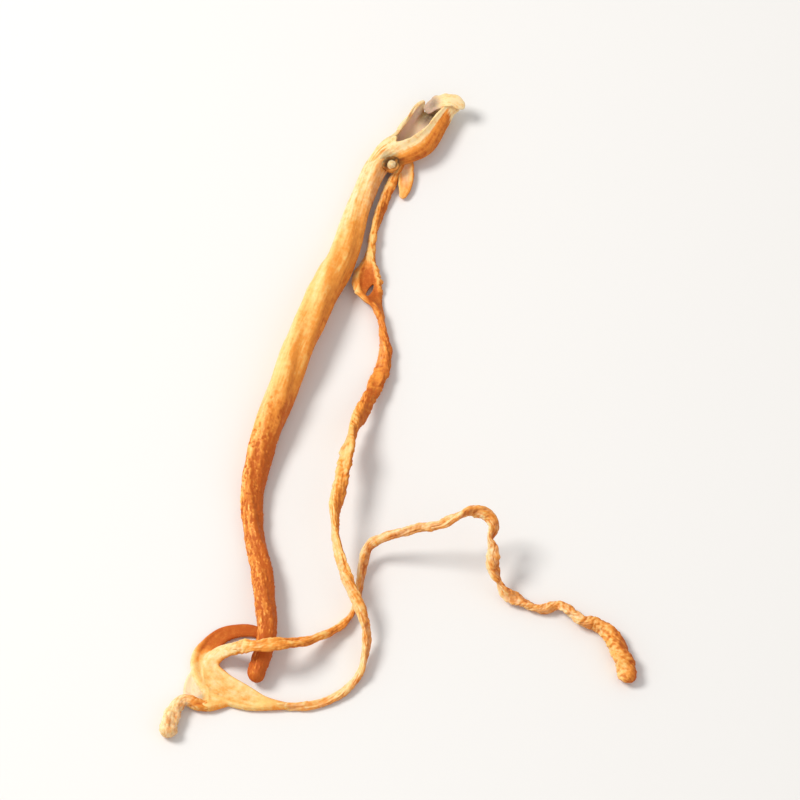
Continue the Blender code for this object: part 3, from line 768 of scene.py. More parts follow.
def flat_leaf(name, route, seed, sides, web, rim, cup=0.0, broad=(0.55, 1.2), ragged=0.0):
    """A leaf: where it is broad, a thin web between two rolled rims, cupped upwards. Its stalk,
    how high and how papery it is, and its grain. broad: half the width from which it is such a
    leaf, and at which it is one wholly; ragged: how far its edges are torn, as a part of its width."""
    stalk = Stalk(name, route, FORK_SKIN, seed, sides)
    along, c, s, half = stalk.along, stalk.c, stalk.s, stalk.half
    papery = step_up(half, *broad)
    leaf, edge = rimmed(c, web, rim, rises=(0.42, 0.76), cord_from=0.76)
    leaf = leaf * np.clip(s * 5, -1, 1) * stalk.share
    fibres = creased(stalk.flow(3.2, 5.0, seed + 80))
    fine = stalk.flow(9.0, 3.0, seed + 81)
    relief = 0.03 * (fibres - 0.6) + 0.018 * fine
    still = np.zeros_like(along)
    waves = rough_noise(np.column_stack([along / 1.1, c * half / 0.9, still]), seed + 83)
    sag = -cup * (1 - c * c) * papery + 1.3 * ragged * papery * waves
    teeth = rough_noise(np.column_stack([along / 0.55, np.sign(c) * 3.1, still]), seed + 82, 3)
    across = half * stalk.swell * c * (1 + ragged * teeth)
    through = half * stalk.flat * s * (1 - papery) + leaf * papery
    stalk.shape(across + relief * c, through * stalk.swell + relief * s, sag)
    ridge = 0.10 * fibres + 0.08 * fine + 0.52 + 0.14 * edge * papery
    return stalk, ridge, papery, np.column_stack([c * half, s * half * 0.5, along])


# ---------------------------------------------------------------- shader nodes


class Value:
    """The output of a shader node. Arithmetic on it adds Math nodes."""

    def __init__(self, graph, output):
        self.graph, self.output = graph, output

    def math(self, operation, first, second):
        return self.graph.add("ShaderNodeMath", {"operation": operation}, {0: first, 1: second})

    def __add__(self, other):
        return self.math("ADD", self, other)

    def __radd__(self, other):
        return self.math("ADD", other, self)

    def __sub__(self, other):
        return self.math("SUBTRACT", self, other)

    def __rsub__(self, other):
        return self.math("SUBTRACT", other, self)

    def __mul__(self, other):
        return self.math("MULTIPLY", self, other)

    def __rmul__(self, other):
        return self.math("MULTIPLY", other, self)


class Graph:
    """The nodes of one material."""

    def __init__(self, name):
        self.material = bpy.data.materials.new(name)
        self.material.use_nodes = True
        self.tree = self.material.node_tree
        self.shader = self.tree.nodes["Principled BSDF"]

    def add(self, kind, settings=None, inputs=None, output=0):
        """A new node: its settings first, then the values or links of its sockets."""
        node = self.tree.nodes.new(kind)
        for key, value in (settings or {}).items():
            if key == "stops":
                ramp = node.color_ramp
                while len(ramp.elements) < len(value):
                    ramp.elements.new(0.5)
                for element, (place, colour) in zip(ramp.elements, value):
                    element.position, element.color = place, (*colour, 1.0)
            else:
                setattr(node, key, value)
        self.feed(node, inputs or {})
        return Value(self, node.outputs[output])

    def feed(self, node, inputs):
        for key, value in inputs.items():
            if isinstance(value, Value):
                self.tree.links.new(value.output, node.inputs[key])
            else:
                node.inputs[key].default_value = value

    def attribute(self, name, output="Fac"):
        return self.add("ShaderNodeAttribute", {"attribute_name": name}, output=output)

    def noise(self, place, scale, detail=3.0, roughness=0.55):
        return self.add(
            "ShaderNodeTexNoise",
            inputs={"Vector": place, "Scale": scale, "Detail": detail, "Roughness": roughness},
        )

    def stretched(self, place, scale):
        return self.add("ShaderNodeVectorMath", {"operation": "MULTIPLY"}, {0: place, 1: scale})

    def ramp(self, factor, stops):
        return self.add("ShaderNodeValToRGB", {"stops": stops}, {0: factor})

    def mix(self, factor, first, second):
        colours = {key: c if isinstance(c, Value) else (*c, 1.0) for key, c in ((6, first), (7, second))}
        return self.add("ShaderNodeMix", {"data_type": "RGBA"}, {0: factor, **colours}, output=2)

    def between(self, value, low, high, to_low=0.0, to_high=1.0):
        return self.add(
            "ShaderNodeMapRange",
            {"interpolation_type": "SMOOTHSTEP"},
            {0: value, 1: low, 2: high, 3: to_low, 4: to_high},
        )


def blend(first, second, part):
    """The colour that lies this part of the way from the first to the second."""
    return tuple(a + (b - a) * part for a, b in zip(first, second))


def dried_skin(name, rough, streaky, uneven=1.0, redness=0.0, warmth=0.0):
    """The skin of a dried stalk. Streaks run along it, and its tone runs from deep orange to golden, with
    painted shade in creases and painted light on the side facing the key light;
    the club end is grainy, torn places are cream, and the hollow inside is a pale greyish tan with painted
    shade deep in it.
    rough: its middle roughness; streaky: how much of its pattern is streaks; uneven: how strong
    that pattern is; redness: how far it leans to the deeper colours; warmth: how golden its cream is."""
    finish = bpy.context.scene.tuft_finish
    golden, orange, deep, cream, tan, dark_brown_and_painted_shade = (
        tuple(getattr(finish, tone)) for tone in ("golden", "orange", "deep", "cream", "hollow", "dark_brown_and_painted_shade")
    )
    golden, orange = blend(golden, orange, redness), blend(orange, deep, redness * 0.6)
    cream = blend(cream, golden, warmth)
    g = Graph(name)
    grain = g.attribute("grain", "Vector")
    place = g.add("ShaderNodeTexCoord", output="Object")
    ridge, club, pale, hollow, scorch = (g.attribute(mask) for mask in MASKS)

    streaks = g.noise(g.stretched(grain, (3.2, 3.2, 0.55)), 1.0, 4.0, 0.6)
    threads = g.noise(g.stretched(grain, (11.0, 11.0, 1.1)), 1.0, 2.0)
    clouds = g.noise(place, 330.0, 3.0)
    mottle = g.noise(place, 1500.0, 2.0, 0.6)
    specks = g.noise(place, 4200.0, 2.0, 0.7)
    patchy = ((streaks - 0.5) * (0.32 * streaky) + (threads - 0.5) * (0.26 * streaky)
              + (clouds - 0.5) * 0.30 + (mottle - 0.5) * (0.62 - 0.36 * streaky) + (specks - 0.5) * 0.26)
    tone = ridge * 0.70 + patchy * uneven + 0.12
    stalk = g.ramp(tone, [
        (0.06, deep),
        (0.25, blend(deep, orange, 0.65)),
        (0.42, orange),
        (0.60, blend(orange, golden, 0.7)),
        (0.76, golden),
        (0.98, blend(golden, cream, 0.6)),
    ])
    grains = g.ramp(tone, [
        (0.12, deep),
        (0.32, blend(deep, orange, 0.30)),
        (0.50, blend(deep, orange, 0.65)),
        (0.66, blend(orange, golden, 0.15)),
        (0.80, blend(orange, golden, 0.80)),
        (0.96, golden),
    ])
    colour = g.mix(club, stalk, grains)
    patches = streaks * streaky + mottle * (1 - streaky)
    worn = g.between(patches + (threads - 0.5) * (0.6 * streaky), 0.34, 0.66)
    torn = g.ramp(worn, [
        (0.0, blend(cream, orange, 0.62)),
        (0.35, blend(cream, golden, 0.45)),
        (1.0, cream),
    ])
    colour = g.mix(g.between(pale + (patches - 0.5) * (0.8 * uneven), 0.20, 0.84), colour, torn)
    # Inside the base the tone carries painted light on the inner left wall; low tones lean to dark brown.
    inside = g.ramp(ridge * 0.8 + streaks * 0.5 - 0.15, [
        (0.12, blend(tan, dark_brown_and_painted_shade, 0.45)),
        (0.45, tan),
        (0.80, blend(tan, cream, 0.6)),
    ])
    colour = g.mix(hollow, colour, inside)
    # Dark brown where that mask is: the bud's ring, dark spots and strip roots, and painted shade deep in
    # the base's hollow.
    colour = g.mix(scorch * g.between(specks, 0.2, 0.6, 0.75, 1.0), colour, dark_brown_and_painted_shade)

    relief = g.noise(g.stretched(grain, (9.0, 9.0, 2.6)), 1.0, 3.0, 0.6) * 0.6 + specks * 0.4
    bump = g.add("ShaderNodeBump", inputs={"Strength": 0.5, "Distance": 0.00004, "Height": relief})
    g.feed(g.shader, {
        "Base Color": colour,
        "Roughness": g.between(ridge + (specks - 0.5) * 0.5, 0.0, 1.0, rough + 0.16, rough - 0.06),
        "Normal": bump,
        "Specular IOR Level": 0.22,
        "Subsurface Weight": 0.12,
        "Subsurface Radius": (1.0, 0.36, 0.10),
        "Subsurface Scale": 0.0005,
    })
    return g.material


# ---------------------------------------------------------------- sizes and colours


class TuftSizes(bpy.types.PropertyGroup):
    """Sizes of the faces, the fine relief and the wall of the base, in metres."""

    step: bpy.props.FloatProperty(
        name="Face length", description="Length of the faces of the stalk meshes",
        default=0.0001, min=0.00005, max=0.0004, subtype="DISTANCE", unit="LENGTH", precision=5,
    )
    wrinkle: bpy.props.FloatProperty(
        name="Wrinkle depth", description="Depth of the wrinkles that run along the stalks",
        default=0.00013, min=0.0, max=0.0004, subtype="DISTANCE", unit="LENGTH", precision=5,
    )
    grain_length: bpy.props.FloatProperty(
        name="Grain length", description="Length of a grain on the club ends",
        default=0.00082, min=0.0003, max=0.002, subtype="DISTANCE", unit="LENGTH", precision=5,
    )
    grain_height: bpy.props.FloatProperty(
        name="Grain height", description="Height of the grains of the club ends",
        default=0.00006, min=0.0, max=0.0003, subtype="DISTANCE", unit="LENGTH", precision=5,
    )
    wall: bpy.props.FloatProperty(
        name="Base wall", description="Thickness of the skin of the hollow base",
        default=BASE_WALL * MM, min=0.0001, max=0.0006, subtype="DISTANCE", unit="LENGTH", precision=5,
    )


class TuftFinish(bpy.types.PropertyGroup):
    """Colours of the dried skin."""

    golden: bpy.props.FloatVectorProperty(
        name="Golden", description="Raised, dry parts of the stalks",
        default=(0.87, 0.575, 0.190), size=3, min=0.0, max=1.0, subtype="COLOR",
    )
    orange: bpy.props.FloatVectorProperty(
        name="Orange", description="Most of the skin",
        default=(0.85, 0.31, 0.045), size=3, min=0.0, max=1.0, subtype="COLOR",
    )
    deep: bpy.props.FloatVectorProperty(
        name="Deep orange", description="Creases and the pits of the club ends",
        default=(0.50, 0.105, 0.010), size=3, min=0.0, max=1.0, subtype="COLOR",
    )
    cream: bpy.props.FloatVectorProperty(
        name="Cream", description="Torn edges and the flesh of the base",
        default=(0.89, 0.72, 0.45), size=3, min=0.0, max=1.0, subtype="COLOR",
    )
    hollow: bpy.props.FloatVectorProperty(
        name="Hollow", description="Inside of the base",
        default=(0.80, 0.56, 0.44), size=3, min=0.0, max=1.0, subtype="COLOR",
    )
    # Dark brown: the bud's real ring, the strips' dark roots and the fork's dark spots, and painted shade
    # deep in the base's hollow.
    dark_brown_and_painted_shade: bpy.props.FloatVectorProperty(
        name="Dark brown", description="Ring round the broken bud, and the dark spot in the hollow",
        default=(0.085, 0.050, 0.018), size=3, min=0.0, max=1.0, subtype="COLOR",
    )


def in_mm(size):
    return getattr(bpy.context.scene.tuft_sizes, size) / MM


# ---------------------------------------------------------------- the pieces


class AddThickStalk(bpy.types.Operator):
    """Adds the thick stalk, smooth above and grainy towards its club end"""

    bl_idname = "tuft.thick_stalk"
    bl_label = "Thick stalk"
    sides = 48
    club_from, club_full = 28.0, 38.0  # mm along the stalk
    grains_round = 20

    def execute(self, context):
        route = Route(THICK_ROUTE, THICK_LEAD, round_end=True)
        stalk = Stalk("thick_stalk_skin", route, THICK_SKIN, seed=1, sides=self.sides)
        along, half = stalk.along, stalk.half
        club = step_up(along + 2.5 * stalk.flow(1.2, 3.0, 40, octaves=3), self.club_from, self.club_full)
        depth = 0.34 * in_mm("wrinkle")
        smooth, height = stalk_skin(stalk, half, depth, seed=11, close=2.6, folded=0.6, stretch=0.8)
        grains, grain_tone = club_grains(stalk, self.grains_round, in_mm("grain_length"), seed=21)
        knobs = rough_noise((stalk.centre + stalk.outwards) / 1.1, 31)
        relief = smooth * (1 - 0.35 * club) + club * (in_mm("grain_height") * grains + 0.10 * knobs)
        relief *= np.minimum(half / 0.6, 1.0)
        out = half * stalk.swell + relief
        stalk.shape(out * stalk.c, out * stalk.s * stalk.flat)
        # Golden where the skin stands high and deeper orange in its creases, partly its own colour and
        # partly painted shade; on the club its grains and knobs set the tone.
        on_club = 0.20 * height + 1.25 * grain_tone + 0.16 * knobs - 0.72
        ridge = (0.21 + 0.65 * height) * (1 - club) + on_club * club
        # Darker towards the lower club; the tip is darkened further with painted shade, where it lies under
        # the curly stalk.
        ridge -= 0.18 * step_up(along, 38.0, 48.0) + 0.46 * step_up(along, 56.5, 61.0)
        pale = 0.34 * (1 - step_up(along, 2.0, 14.0)) + 0.08 * (1 - club)
        skin = dried_skin("golden wrinkled stalk", rough=0.50, streaky=0.5, uneven=0.56)
        finish_piece(stalk.obj, "thick_stalk", "thick_stalk", skin, stalk.grain(1.5), ridge, pale, club)
        return {"FINISHED"}


class AddSideStalk(bpy.types.Operator):
    """Adds the thin side stalk, with the stretch where it split open and grew together again"""

    bl_idname = "tuft.side_stalk"
    bl_label = "Side stalk"
    split_from, split_to, split_rise = 10.6, 16.6, 2.2  # mm along the stalk
    slit = (-0.38, 15.25, 0.8)  # mm, the middle of the slit through its skin
    slit_size = (0.24, 1.0, 1.2)  # mm, half its width, length and depth
    slit_turn = math.radians(-24)
    slit_merge = 0.002  # mm, how close together points beside the slit are made one

    def execute(self, context):
        route = Route(SIDE_ROUTE, SIDE_LEAD, SIDE_TAIL)
        stalk, ridge, _ = thin_stalk(
            "side_stalk_skin", route, SIDE_SKIN, seed=2, groove=0.40,
            crinkle=lambda along: 0.24, club=np.zeros_like, split=self.opened)
        along = stalk.along
        ridge -= 0.42 * step_up(along, 12.0, 18.0) * (1 - step_up(along, 26.0, 34.0)) + 0.03
        ridge += 0.06 * step_up(along, 34.0, 44.0)
        pale = 0.20 * (1 - step_up(along, 1.0, 8.0)) + 0.16 * step_up(along, 34.0, 40.0)
        pale += 0.20 * step_up(along, 46.0, 58.0)
        old_points = points_of(stalk.obj)
        values = np.column_stack([ridge, pale, stalk.grain(THIN_GRAIN)])
        self.cut_slit(stalk.obj)
        values = inherit(stalk.obj, old_points, values)
        skin = dried_skin("orange twisted strand", rough=0.54, streaky=0.45, uneven=0.75, redness=0.06)
        finish_piece(stalk.obj, "side_stalk", "thin_stalk", skin, values[:, 2:], *values[:, :2].T)
        return {"FINISHED"}

    def opened(self, along):
        """How far the stalk has split open at these places, from 0 to 1."""
        opening = step_up(along, self.split_from, self.split_from + self.split_rise)
        return opening * (1 - step_up(along, self.split_to - self.split_rise, self.split_to))

    def cut_slit(self, obj):
        deselect_all()
        bpy.ops.mesh.primitive_uv_sphere_add(
            segments=20, ring_count=12, radius=1.0, location=self.slit, rotation=(0, 0, self.slit_turn))
        bpy.ops.transform.resize(value=self.slit_size, orient_type="LOCAL")
        cutter = bpy.context.object
        bpy.ops.object.transform_apply(location=True, rotation=True, scale=True)
        apply_modifier(obj, "BOOLEAN", operation="DIFFERENCE", solver="EXACT", object=cutter)
        bpy.data.objects.remove(cutter)
        close_mesh(obj, self.slit_merge)


class AddCurlyStalk(bpy.types.Operator):
    """Adds the curly stalk, a twisted strand with a small grainy club at its end"""

    bl_idname = "tuft.curly_stalk"
    bl_label = "Curly stalk"
    club_length = 10.0  # mm, from the tip

    def execute(self, context):
        route = Route(CURLY_ROUTE, CURLY_LEAD, round_end=True)
        full = route.length - route.lead

        def club(along):
            return step_up(along, full - self.club_length, full - self.club_length * 0.55)

        def crinkle(along):
            return (0.18 + 0.16 * step_up(along, 24.0, 36.0)) * (1 - 0.65 * club(along))

        stalk, ridge, grainy = thin_stalk(
            "curly_stalk_skin", route, CURLY_SKIN, seed=3, groove=0.42, crinkle=crinkle, club=club)
        ridge += 0.01 * grainy - 0.11 * step_up(stalk.along, 14.0, 24.0) * (1 - grainy)
        pale = (0.18 + 0.16 * step_up(stalk.along, 8.0, 20.0)) * (1 - 0.5 * grainy)
        skin = dried_skin("orange curly strand", rough=0.54, streaky=0.35, uneven=0.8, redness=0.04)
        grain = stalk.grain(THIN_GRAIN)
        finish_piece(stalk.obj, "curly_stalk", "thin_stalk", skin, grain, ridge, pale, grainy)
        return {"FINISHED"}


class AddShortClub(bpy.types.Operator):
    """Adds the short club that grows from the fork"""

    bl_idname = "tuft.short_club"
    bl_label = "Short club"

    def execute(self, context):
        def club(along):
            return 0.35 + 0.5 * step_up(along, 1.5, 4.5)

        route = Route(CLUB_ROUTE, CLUB_LEAD, round_end=True)
        stalk, ridge, grainy = thin_stalk(
            "short_club_skin", route, CLUB_SKIN, seed=4, groove=0.30, crinkle=lambda along: 0.20, club=club)
        dry = step_up(stalk.along, 1.0, 3.5)
        ridge, pale = ridge - 0.12 + 0.26 * dry, 0.18 + 0.37 * dry
        skin = dried_skin("grainy club tip", rough=0.52, streaky=0.4, redness=0.02)
        grain = stalk.grain(THIN_GRAIN)
        finish_piece(stalk.obj, "short_club", "club_tip", skin, grain, ridge, pale, grainy * 0.6)
        return {"FINISHED"}


class AddFlatFork(bpy.types.Operator):
    """Adds the papery fork with the roots of the curly stalk and of the short club"""

    bl_idname = "tuft.flat_fork"
    bl_label = "Flat fork"
    never = (5, 6)  # mm, more than half the width of any root, so that it is no thin leaf
    grown_on = (  # name, route, seed, how pale, how like the hollow, half the width of a thin leaf
        ("curly_root", CURLY_ROOT, 6, 0.28, 0.0, never),
        ("club_root", CLUB_ROOT, 7, 0.20, 0.0, never),
        ("membrane", MEMBRANE_ROUTE, 10, 0.95, 0.45, (0.1, 0.3)),
    )
    crotches = (((-15.9, -27.9, 0.9), 1.3), ((-15.4, -32.0, 0.6), 0.9))  # mm, where roots leave the web
    dark_spots = ((-15.6, -31.2, 0.10), (-17.3, -31.6, 0.40))  # mm, dark spots: x, y, radius

    def execute(self, context):
        route = Route(FORK_ROUTE, FORK_LEAD, round_end=True)
        web, ridge, papery, grain = flat_leaf(
            "flat_fork_skin", route, seed=5, sides=40, web=0.20, rim=0.36, cup=0.10)
        full = route.length - route.lead
        # The arc, where the web passes under the thick stalk's tip, is deep red-orange and grainy: partly
        # its own colour, partly painted shade under the stalk.
        arc = step_up(web.along, full - 8.2, full - 5.2)
        tail = 1 - step_up(web.along, 0.0, 4.0)
        none = np.zeros_like(arc)
        ridge = ridge - 0.98 * arc - 0.06 * tail - 0.03
        parts = [(web.obj, (ridge, 0.30 * papery * (1 - arc), 0.80 * arc, none, grain))]
        for name, rows, seed, flush, tint, broad in self.grown_on:
            route = Route(rows, round_start=True, round_end=name == "membrane")
            root, ridge, _, grain = flat_leaf(
                name, route, seed, THIN_SIDES, web=0.22, rim=0.30, broad=broad)
            bare = np.ones_like(ridge)
            if name == "membrane":
                right = step_up(points_of(root.obj)[:, 0], -17.7, -16.9)
                bare = step_up(root.along, 0.6, 1.6) * (1 - right)
            pale = 0.28 + (flush - 0.28) * bare
            parts.append((root.obj, (ridge - 0.03, pale, np.zeros_like(bare), tint * bare, grain)))
        fork, values = fuse("flat_fork_skin", parts, smooth=3)
        for place, reach in self.crotches:
            soften(fork, place, reach)
        x, y, _ = points_of(fork).T
        # Darker brown round each of these spots: a small speck on the web and a soft patch near the
        # membrane's lower corner.
        spotting = np.max([
            np.exp(-(((x - middle_x) ** 2 + (y - middle_y) ** 2) / radius**2))
            for middle_x, middle_y, radius in self.dark_spots
        ], axis=0)
        skin = dried_skin("pale papery fork", rough=0.56, streaky=0.4)
        finish_piece(fork, "flat_fork", "flat_fork", skin, values[:, 4:], *values[:, :4].T, 0.4 * spotting)
        return {"FINISHED"}


class AddCutBase(bpy.types.Operator):
    """Adds the hollow base, torn open at its mouth, with its flap, its tongue and the broken bud"""

    bl_idname = "tuft.cut_base"
    bl_label = "Cut base"
    rings = 96
    sides = 84
    # Painted shade: a dark spot deep inside the hollow, on the inner face of its upper right.
    painted_shade_spot = (8.8, 4.3)  # mm along the base and radians round it, on its inner face
    painted_shade_reach = (1.3, 0.9)  # and how far it reaches, in the same
    bare_side = (0.25, -0.95, 0.0)  # the way from the bud to the side where its ring is hardly dark
    bud_shapes = (  # tool, its sizes, mm from the bud's place, mm of lumps, and how golden, pale, like the hollow and dark it is
        ("primitive_cone_add", {"vertices": 32, "radius1": 0.62, "radius2": 0.74, "depth": 1.3},
         -0.10, 0.04, (0.35, 0.35, 0.0, 0.10)),
        ("primitive_torus_add",
         {"major_segments": 60, "minor_segments": 18, "major_radius": 0.76, "minor_radius": 0.17},
         0.52, 0.18, (0.30, 0.10, 0.0, 0.95)),
        ("primitive_ico_sphere_add", {"subdivisions": 4, "radius": 0.34},
         0.50, 0.09, (0.90, 1.00, 0.0, 0.0)),
    )

    def execute(self, context):
        parts = [
            self.sleeve(),
            self.strip("flap", FLAP_ROUTE, 8, cup=0.17, tone=-0.16, pale=0.12, grey=0.75, ragged=0.10),
            self.strip("tongue", TONGUE_ROUTE, 9, cup=0.10, tone=0.10, pale=0.85, grey=0.10, ragged=0.26),
            *self.bud(),
        ]
        base, values = fuse("cut_base_skin", parts, smooth=2)
        ridge, pale, hollow, scorch = values[:, :4].T
        skin = dried_skin("cream torn base", rough=0.58, streaky=0.5, warmth=0.16)
        finish_piece(base, "cut_base", "cut_base", skin, values[:, 4:], ridge, pale, 0.0, hollow, scorch)
        return {"FINISHED"}

    def mouth(self, angle):
        """Where the torn edge lies at these angles, as a part of the base's length."""
        off_cut = np.mod(angle - MOUTH_CUT_ANGLE + math.pi, 2 * math.pi) - math.pi
        reach = 1.0 - MOUTH_CUT * np.exp(-((off_cut / MOUTH_CUT_WIDTH) ** 4))
        reach -= MOUTH_SLANT * (1 - np.cos(angle)) / 2
        for teeth, start, depth in RIM_TEETH:
            reach -= depth * (1 + np.sin(teeth * angle + start))
        ragged = rough_noise(wrapped(angle, 4.5, np.zeros_like(angle)), 91, 3)
        return np.clip(reach + 0.035 * ragged, 0.2, 1.0)

    def sleeve(self):
        """The torn sleeve with its wall, and the values of its outer, inner and rim faces."""
        route = Route(BASE_ROUTE, BASE_LEAD)
        axis = np.column_stack([np.zeros(self.rings)] * 2 + [np.arange(self.rings)])
        tube = draw_tube("sleeve", axis, np.ones(self.rings), self.sides, caps=False)
        unrolled = points_of(tube)
        angle = np.mod(np.arctan2(unrolled[:, 1], unrolled[:, 0]), 2 * math.pi)
        part = unrolled[:, 2] / (self.rings - 1)
        full = (route.length - route.lead) * self.mouth(angle)
        along = full * part
        lead_in = route.lead * (1 - step_up(part, 0.0, 0.18))
        centre, _, side, up, half, flat = route.at(along + route.lead - lead_in)
        slope = (self.mouth(angle + 0.05) - self.mouth(angle - 0.05)) * route.length / (0.1 * half)
        to_rim = (full - along) / np.hypot(1.0, slope)
        swell = np.ones(len(along))
        for folds, depth in ((4, 0.05), (7, 0.03)):
            swell += depth * np.cos(folds * angle + folds + 0.2 * along)
        swell += 0.09 * np.array([
            noise.noise(Vector(spot) / 1.9 + Vector((math.cos(a), math.sin(a), 0)))
            for spot, a in zip(centre, angle)
        ])
        ribs = creased(flow(along, angle, 3.4, 5.5, 93))
        fine = flow(along, angle, 8.5, 2.4, 94)
        curled = 0.5 + rough_noise(wrapped(angle, 1.0, along / 4.4) * 2.2, 95)
        flare = 0.20 * (1 - step_up(to_rim, 0.0, 0.8)) * curled
        out = half * (1 + (swell - 1) * step_up(along, 0.0, 1.5)) + 0.07 * (ribs - 0.6) + 0.04 * fine + flare
        points = centre + side * (out * np.cos(angle))[:, None] + up * (out * flat * np.sin(angle))[:, None]
        move_points(tube, points)
        edit_all(tube, normals_make_consistent={"inside": False})
        if np.sum(points_of(tube, "normal") * (points_of(tube) - centre)) < 0:
            edit_all(tube, flip_normals={})
        count = len(points)
        write_attribute(tube, "number", np.arange(count, dtype=float))
        apply_modifier(
            tube, "SOLIDIFY", thickness=in_mm("wall"), offset=-1.0, use_even_offset=False, use_rim=True)
        source = np.round(read_attribute(tube, "number")).astype(int)
        inner = (np.arange(len(source)) >= count).astype(float)
        to_bud = np.linalg.norm(points - np.array(BUD_PLACE), axis=1)
        to_rim, ribs, fine, angle, along, to_bud = (
            values[source] for values in (to_rim, ribs, fine, angle, along, to_bud))
        left = 0.5 - 0.5 * np.cos(angle - 0.6)
        rim = 1 - step_up(to_rim, 0.35, 0.95 + 1.0 * (1 - left))
        pale = 0.12 + 0.80 * step_up(along, 0.5, 4.0) * left + 0.2 * (ribs - 0.5) + rim
        pale = np.clip(pale, 0, 1) * (1 - 0.4 * inner)
        hollow = inner * step_up(to_rim, 0.15, 1.0)
        # Painted shade deep in the hollow on the inner face, and the dark ring round the bud on the outer
        # face.
        (spot_along, spot_angle), (reach, turn) = self.painted_shade_spot, self.painted_shade_reach
        to_spot = np.hypot((along - spot_along) / reach, (angle - spot_angle) / turn)
        scorch = 0.82 * inner * (1 - step_up(to_spot, 0.2, 1.5))
        scorch += 0.6 * (1 - inner) * (1 - step_up(to_bud + 0.5 * fine, 0.8, 1.7))
        # On the inner face: painted light on the left wall, which faces away from the key light, and a
        # little painted shade on the right.
        ridge = 0.08 + 0.32 * ribs + 0.15 * fine + 0.18 * left + inner * (0.42 * left - 0.07)
        return tube, (ridge, pale, hollow, scorch, wrapped(angle, 1.6, along))

    def strip(self, name, rows, seed, cup, tone, pale, grey, ragged):
        """A torn strip of the wall, its inner face turned up, with a grey streak down its middle
        and a dark root."""
        route = Route(rows, round_start=True, round_end=True)
        leaf, ridge, papery, grain = flat_leaf(
            name, route, seed, sides=36, web=0.15, rim=0.24, cup=cup, ragged=ragged)
        up = step_up(-leaf.s, 0.1, 0.6) * papery
        middle = (1 - step_up(np.abs(leaf.c), 0.20, 0.75)) * up
        root = 1 - step_up(leaf.along, 1.3, 2.7)
        dark = 0.42 * root + 1.10 * np.exp(-(((leaf.along - 1.2) / 0.8) ** 2)) * middle
        grey = np.maximum(grey * middle, root)
        return leaf.obj, (ridge + tone - 0.5 * root, pale + 0.3 * middle, grey, dark, grain)

    def bud(self):
        """A pale knob in a ragged dark ring, on a short stub."""
        aim = Vector(BUD_AIM).normalized()
        spin = aim.to_track_quat("Z", "Y").to_euler()
        made = []
        for tool, sizes, lift, lump, values in self.bud_shapes:
            place = Vector(BUD_PLACE) + aim * lift
            deselect_all()
            getattr(bpy.ops.mesh, tool)(location=place, rotation=spin, **sizes)
            obj = bpy.context.object
            bpy.ops.object.transform_apply(location=True, rotation=True, scale=True)
            if tool == "primitive_cone_add":
                edit_all(obj, subdivide={"number_cuts": 4})
            points = points_of(obj)
            lumps = rough_noise(points / 0.34, 97, 4)
            points += unit(points - np.array(place)) * (lumps * lump)[:, None]
            move_points(obj, points)
            ridge, pale, hollow, scorch = (np.full(len(points), value) for value in values)
            bare = unit(points - np.array(place)) @ np.array(self.bare_side)
            scorch = scorch * (1 - 0.4 * step_up(lumps, -0.1, 0.5)) * (1 - 0.7 * step_up(bare, 0.1, 0.9))
            made.append((obj, (ridge, pale, hollow, scorch, points - np.array(place))))
        return made


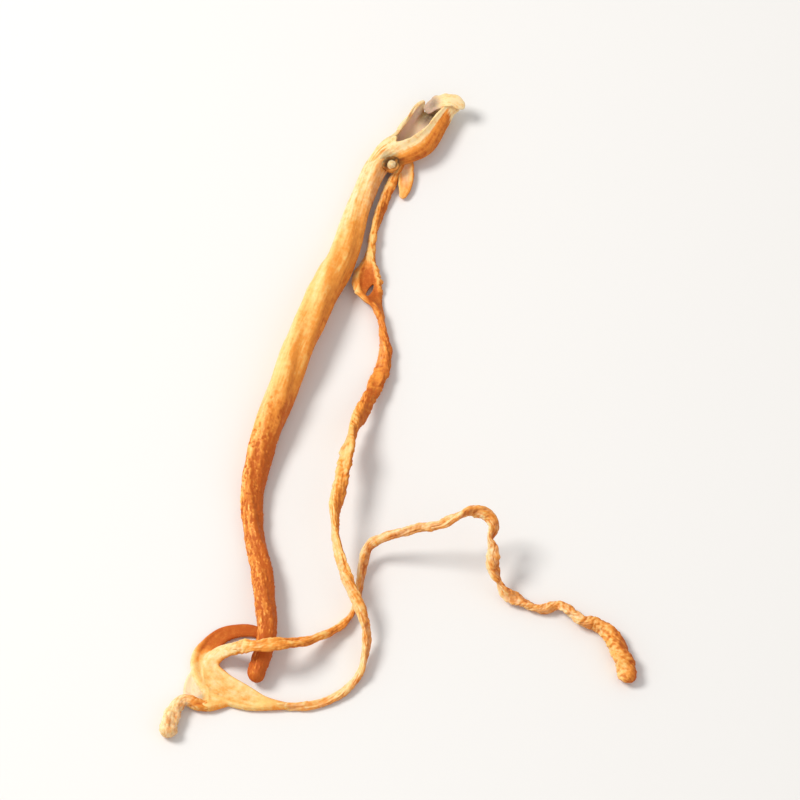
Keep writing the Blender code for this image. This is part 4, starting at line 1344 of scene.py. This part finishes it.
class AddStudio(bpy.types.Operator):
    """Adds the pale floor, the soft light and the camera"""

    bl_idname = "tuft.studio"
    bl_label = "Studio"
    floor_size = 2.4  # m
    floor_drop = 0.00003  # m below the tuft
    backdrop = (1.0, 0.985, 0.965, 1.0)
    backdrop_strength = 0.60
    lights = (  # name, place and size in m, power in W, colour
        ("key light", (-0.32, 0.10, 0.40), 0.20, 2.15, (1.0, 0.975, 0.93)),
        ("fill light", (0.40, -0.22, 0.36), 0.50, 0.35, (1.0, 0.98, 0.96)),
    )
    elevation = math.radians(62)
    distance = 0.69  # m
    lens = 300.0  # mm
    aim = (0.0, 0.0012, 0.0012)  # m

    def execute(self, context):
        scene = context.scene
        deselect_all()
        bpy.ops.mesh.primitive_plane_add(size=self.floor_size, location=(0, 0, -self.floor_drop))
        floor = context.object
        floor.name = floor.data.name = "pale_floor"
        bpy.ops.object.transform_apply(location=True)
        floor.data.materials.append(self.floor_material())

        world = bpy.data.worlds.new("studio light")
        world.use_nodes = True
        background = world.node_tree.nodes["Background"]
        background.inputs["Color"].default_value = self.backdrop
        background.inputs["Strength"].default_value = self.backdrop_strength
        scene.world = world
        for light in self.lights:
            self.soft_light(*light)

        camera = bpy.data.objects.new("camera", bpy.data.cameras.new("camera"))
        scene.collection.objects.link(camera)
        back = Vector((0, -math.cos(self.elevation), math.sin(self.elevation)))
        camera.location = Vector(self.aim) + back * self.distance
        camera.rotation_euler = (-back).to_track_quat("-Z", "Y").to_euler()
        camera.data.lens = self.lens
        camera.data.clip_start, camera.data.clip_end = 0.01, 10.0
        scene.camera = camera
        scene.view_settings.view_transform = "Standard"
        scene.view_settings.look = "None"
        return {"FINISHED"}

    def floor_material(self):
        g = Graph("pale floor")
        place = g.add("ShaderNodeTexCoord", output="Object")
        cloud = g.noise(place, 3.0, 2.0)
        g.feed(g.shader, {
            "Base Color": g.mix(cloud, (0.77, 0.765, 0.76), (0.80, 0.795, 0.79)),
            "Roughness": 0.75,
        })
        return g.material

    def soft_light(self, name, place, size, energy, colour):
        light = bpy.data.lights.new(name, "AREA")
        light.shape, light.size, light.energy, light.color = "DISK", size, energy, colour
        lamp = bpy.data.objects.new(name, light)
        bpy.context.scene.collection.objects.link(lamp)
        lamp.location = place
        lamp.rotation_euler = (-Vector(place)).to_track_quat("-Z", "Y").to_euler()


PIECES = (AddThickStalk, AddSideStalk, AddCurlyStalk, AddShortClub, AddFlatFork, AddCutBase, AddStudio)


class TuftPanel(bpy.types.Panel):
    """The tuft's sizes, colours and pieces"""

    bl_idname = "VIEW3D_PT_dried_tuft"
    bl_label = "Dried tuft"
    bl_space_type = "VIEW_3D"
    bl_region_type = "UI"
    bl_category = "Dried tuft"

    def draw(self, context):
        for group in (context.scene.tuft_sizes, context.scene.tuft_finish):
            box = self.layout.box()
            for name in group.__annotations__:
                box.prop(group, name)
        for piece in PIECES:
            self.layout.operator(piece.bl_idname)


CLASSES = (TuftSizes, TuftFinish, *PIECES, TuftPanel)


def register():
    for cls in CLASSES:
        bpy.utils.register_class(cls)
    bpy.types.Scene.tuft_sizes = bpy.props.PointerProperty(type=TuftSizes)
    bpy.types.Scene.tuft_finish = bpy.props.PointerProperty(type=TuftFinish)


def unregister():
    del bpy.types.Scene.tuft_finish
    del bpy.types.Scene.tuft_sizes
    for cls in reversed(CLASSES):
        bpy.utils.unregister_class(cls)


def main():
    register()
    for piece in PIECES:
        group, name = piece.bl_idname.split(".")
        getattr(getattr(bpy.ops, group), name)()


if __name__ == "__main__":
    main()
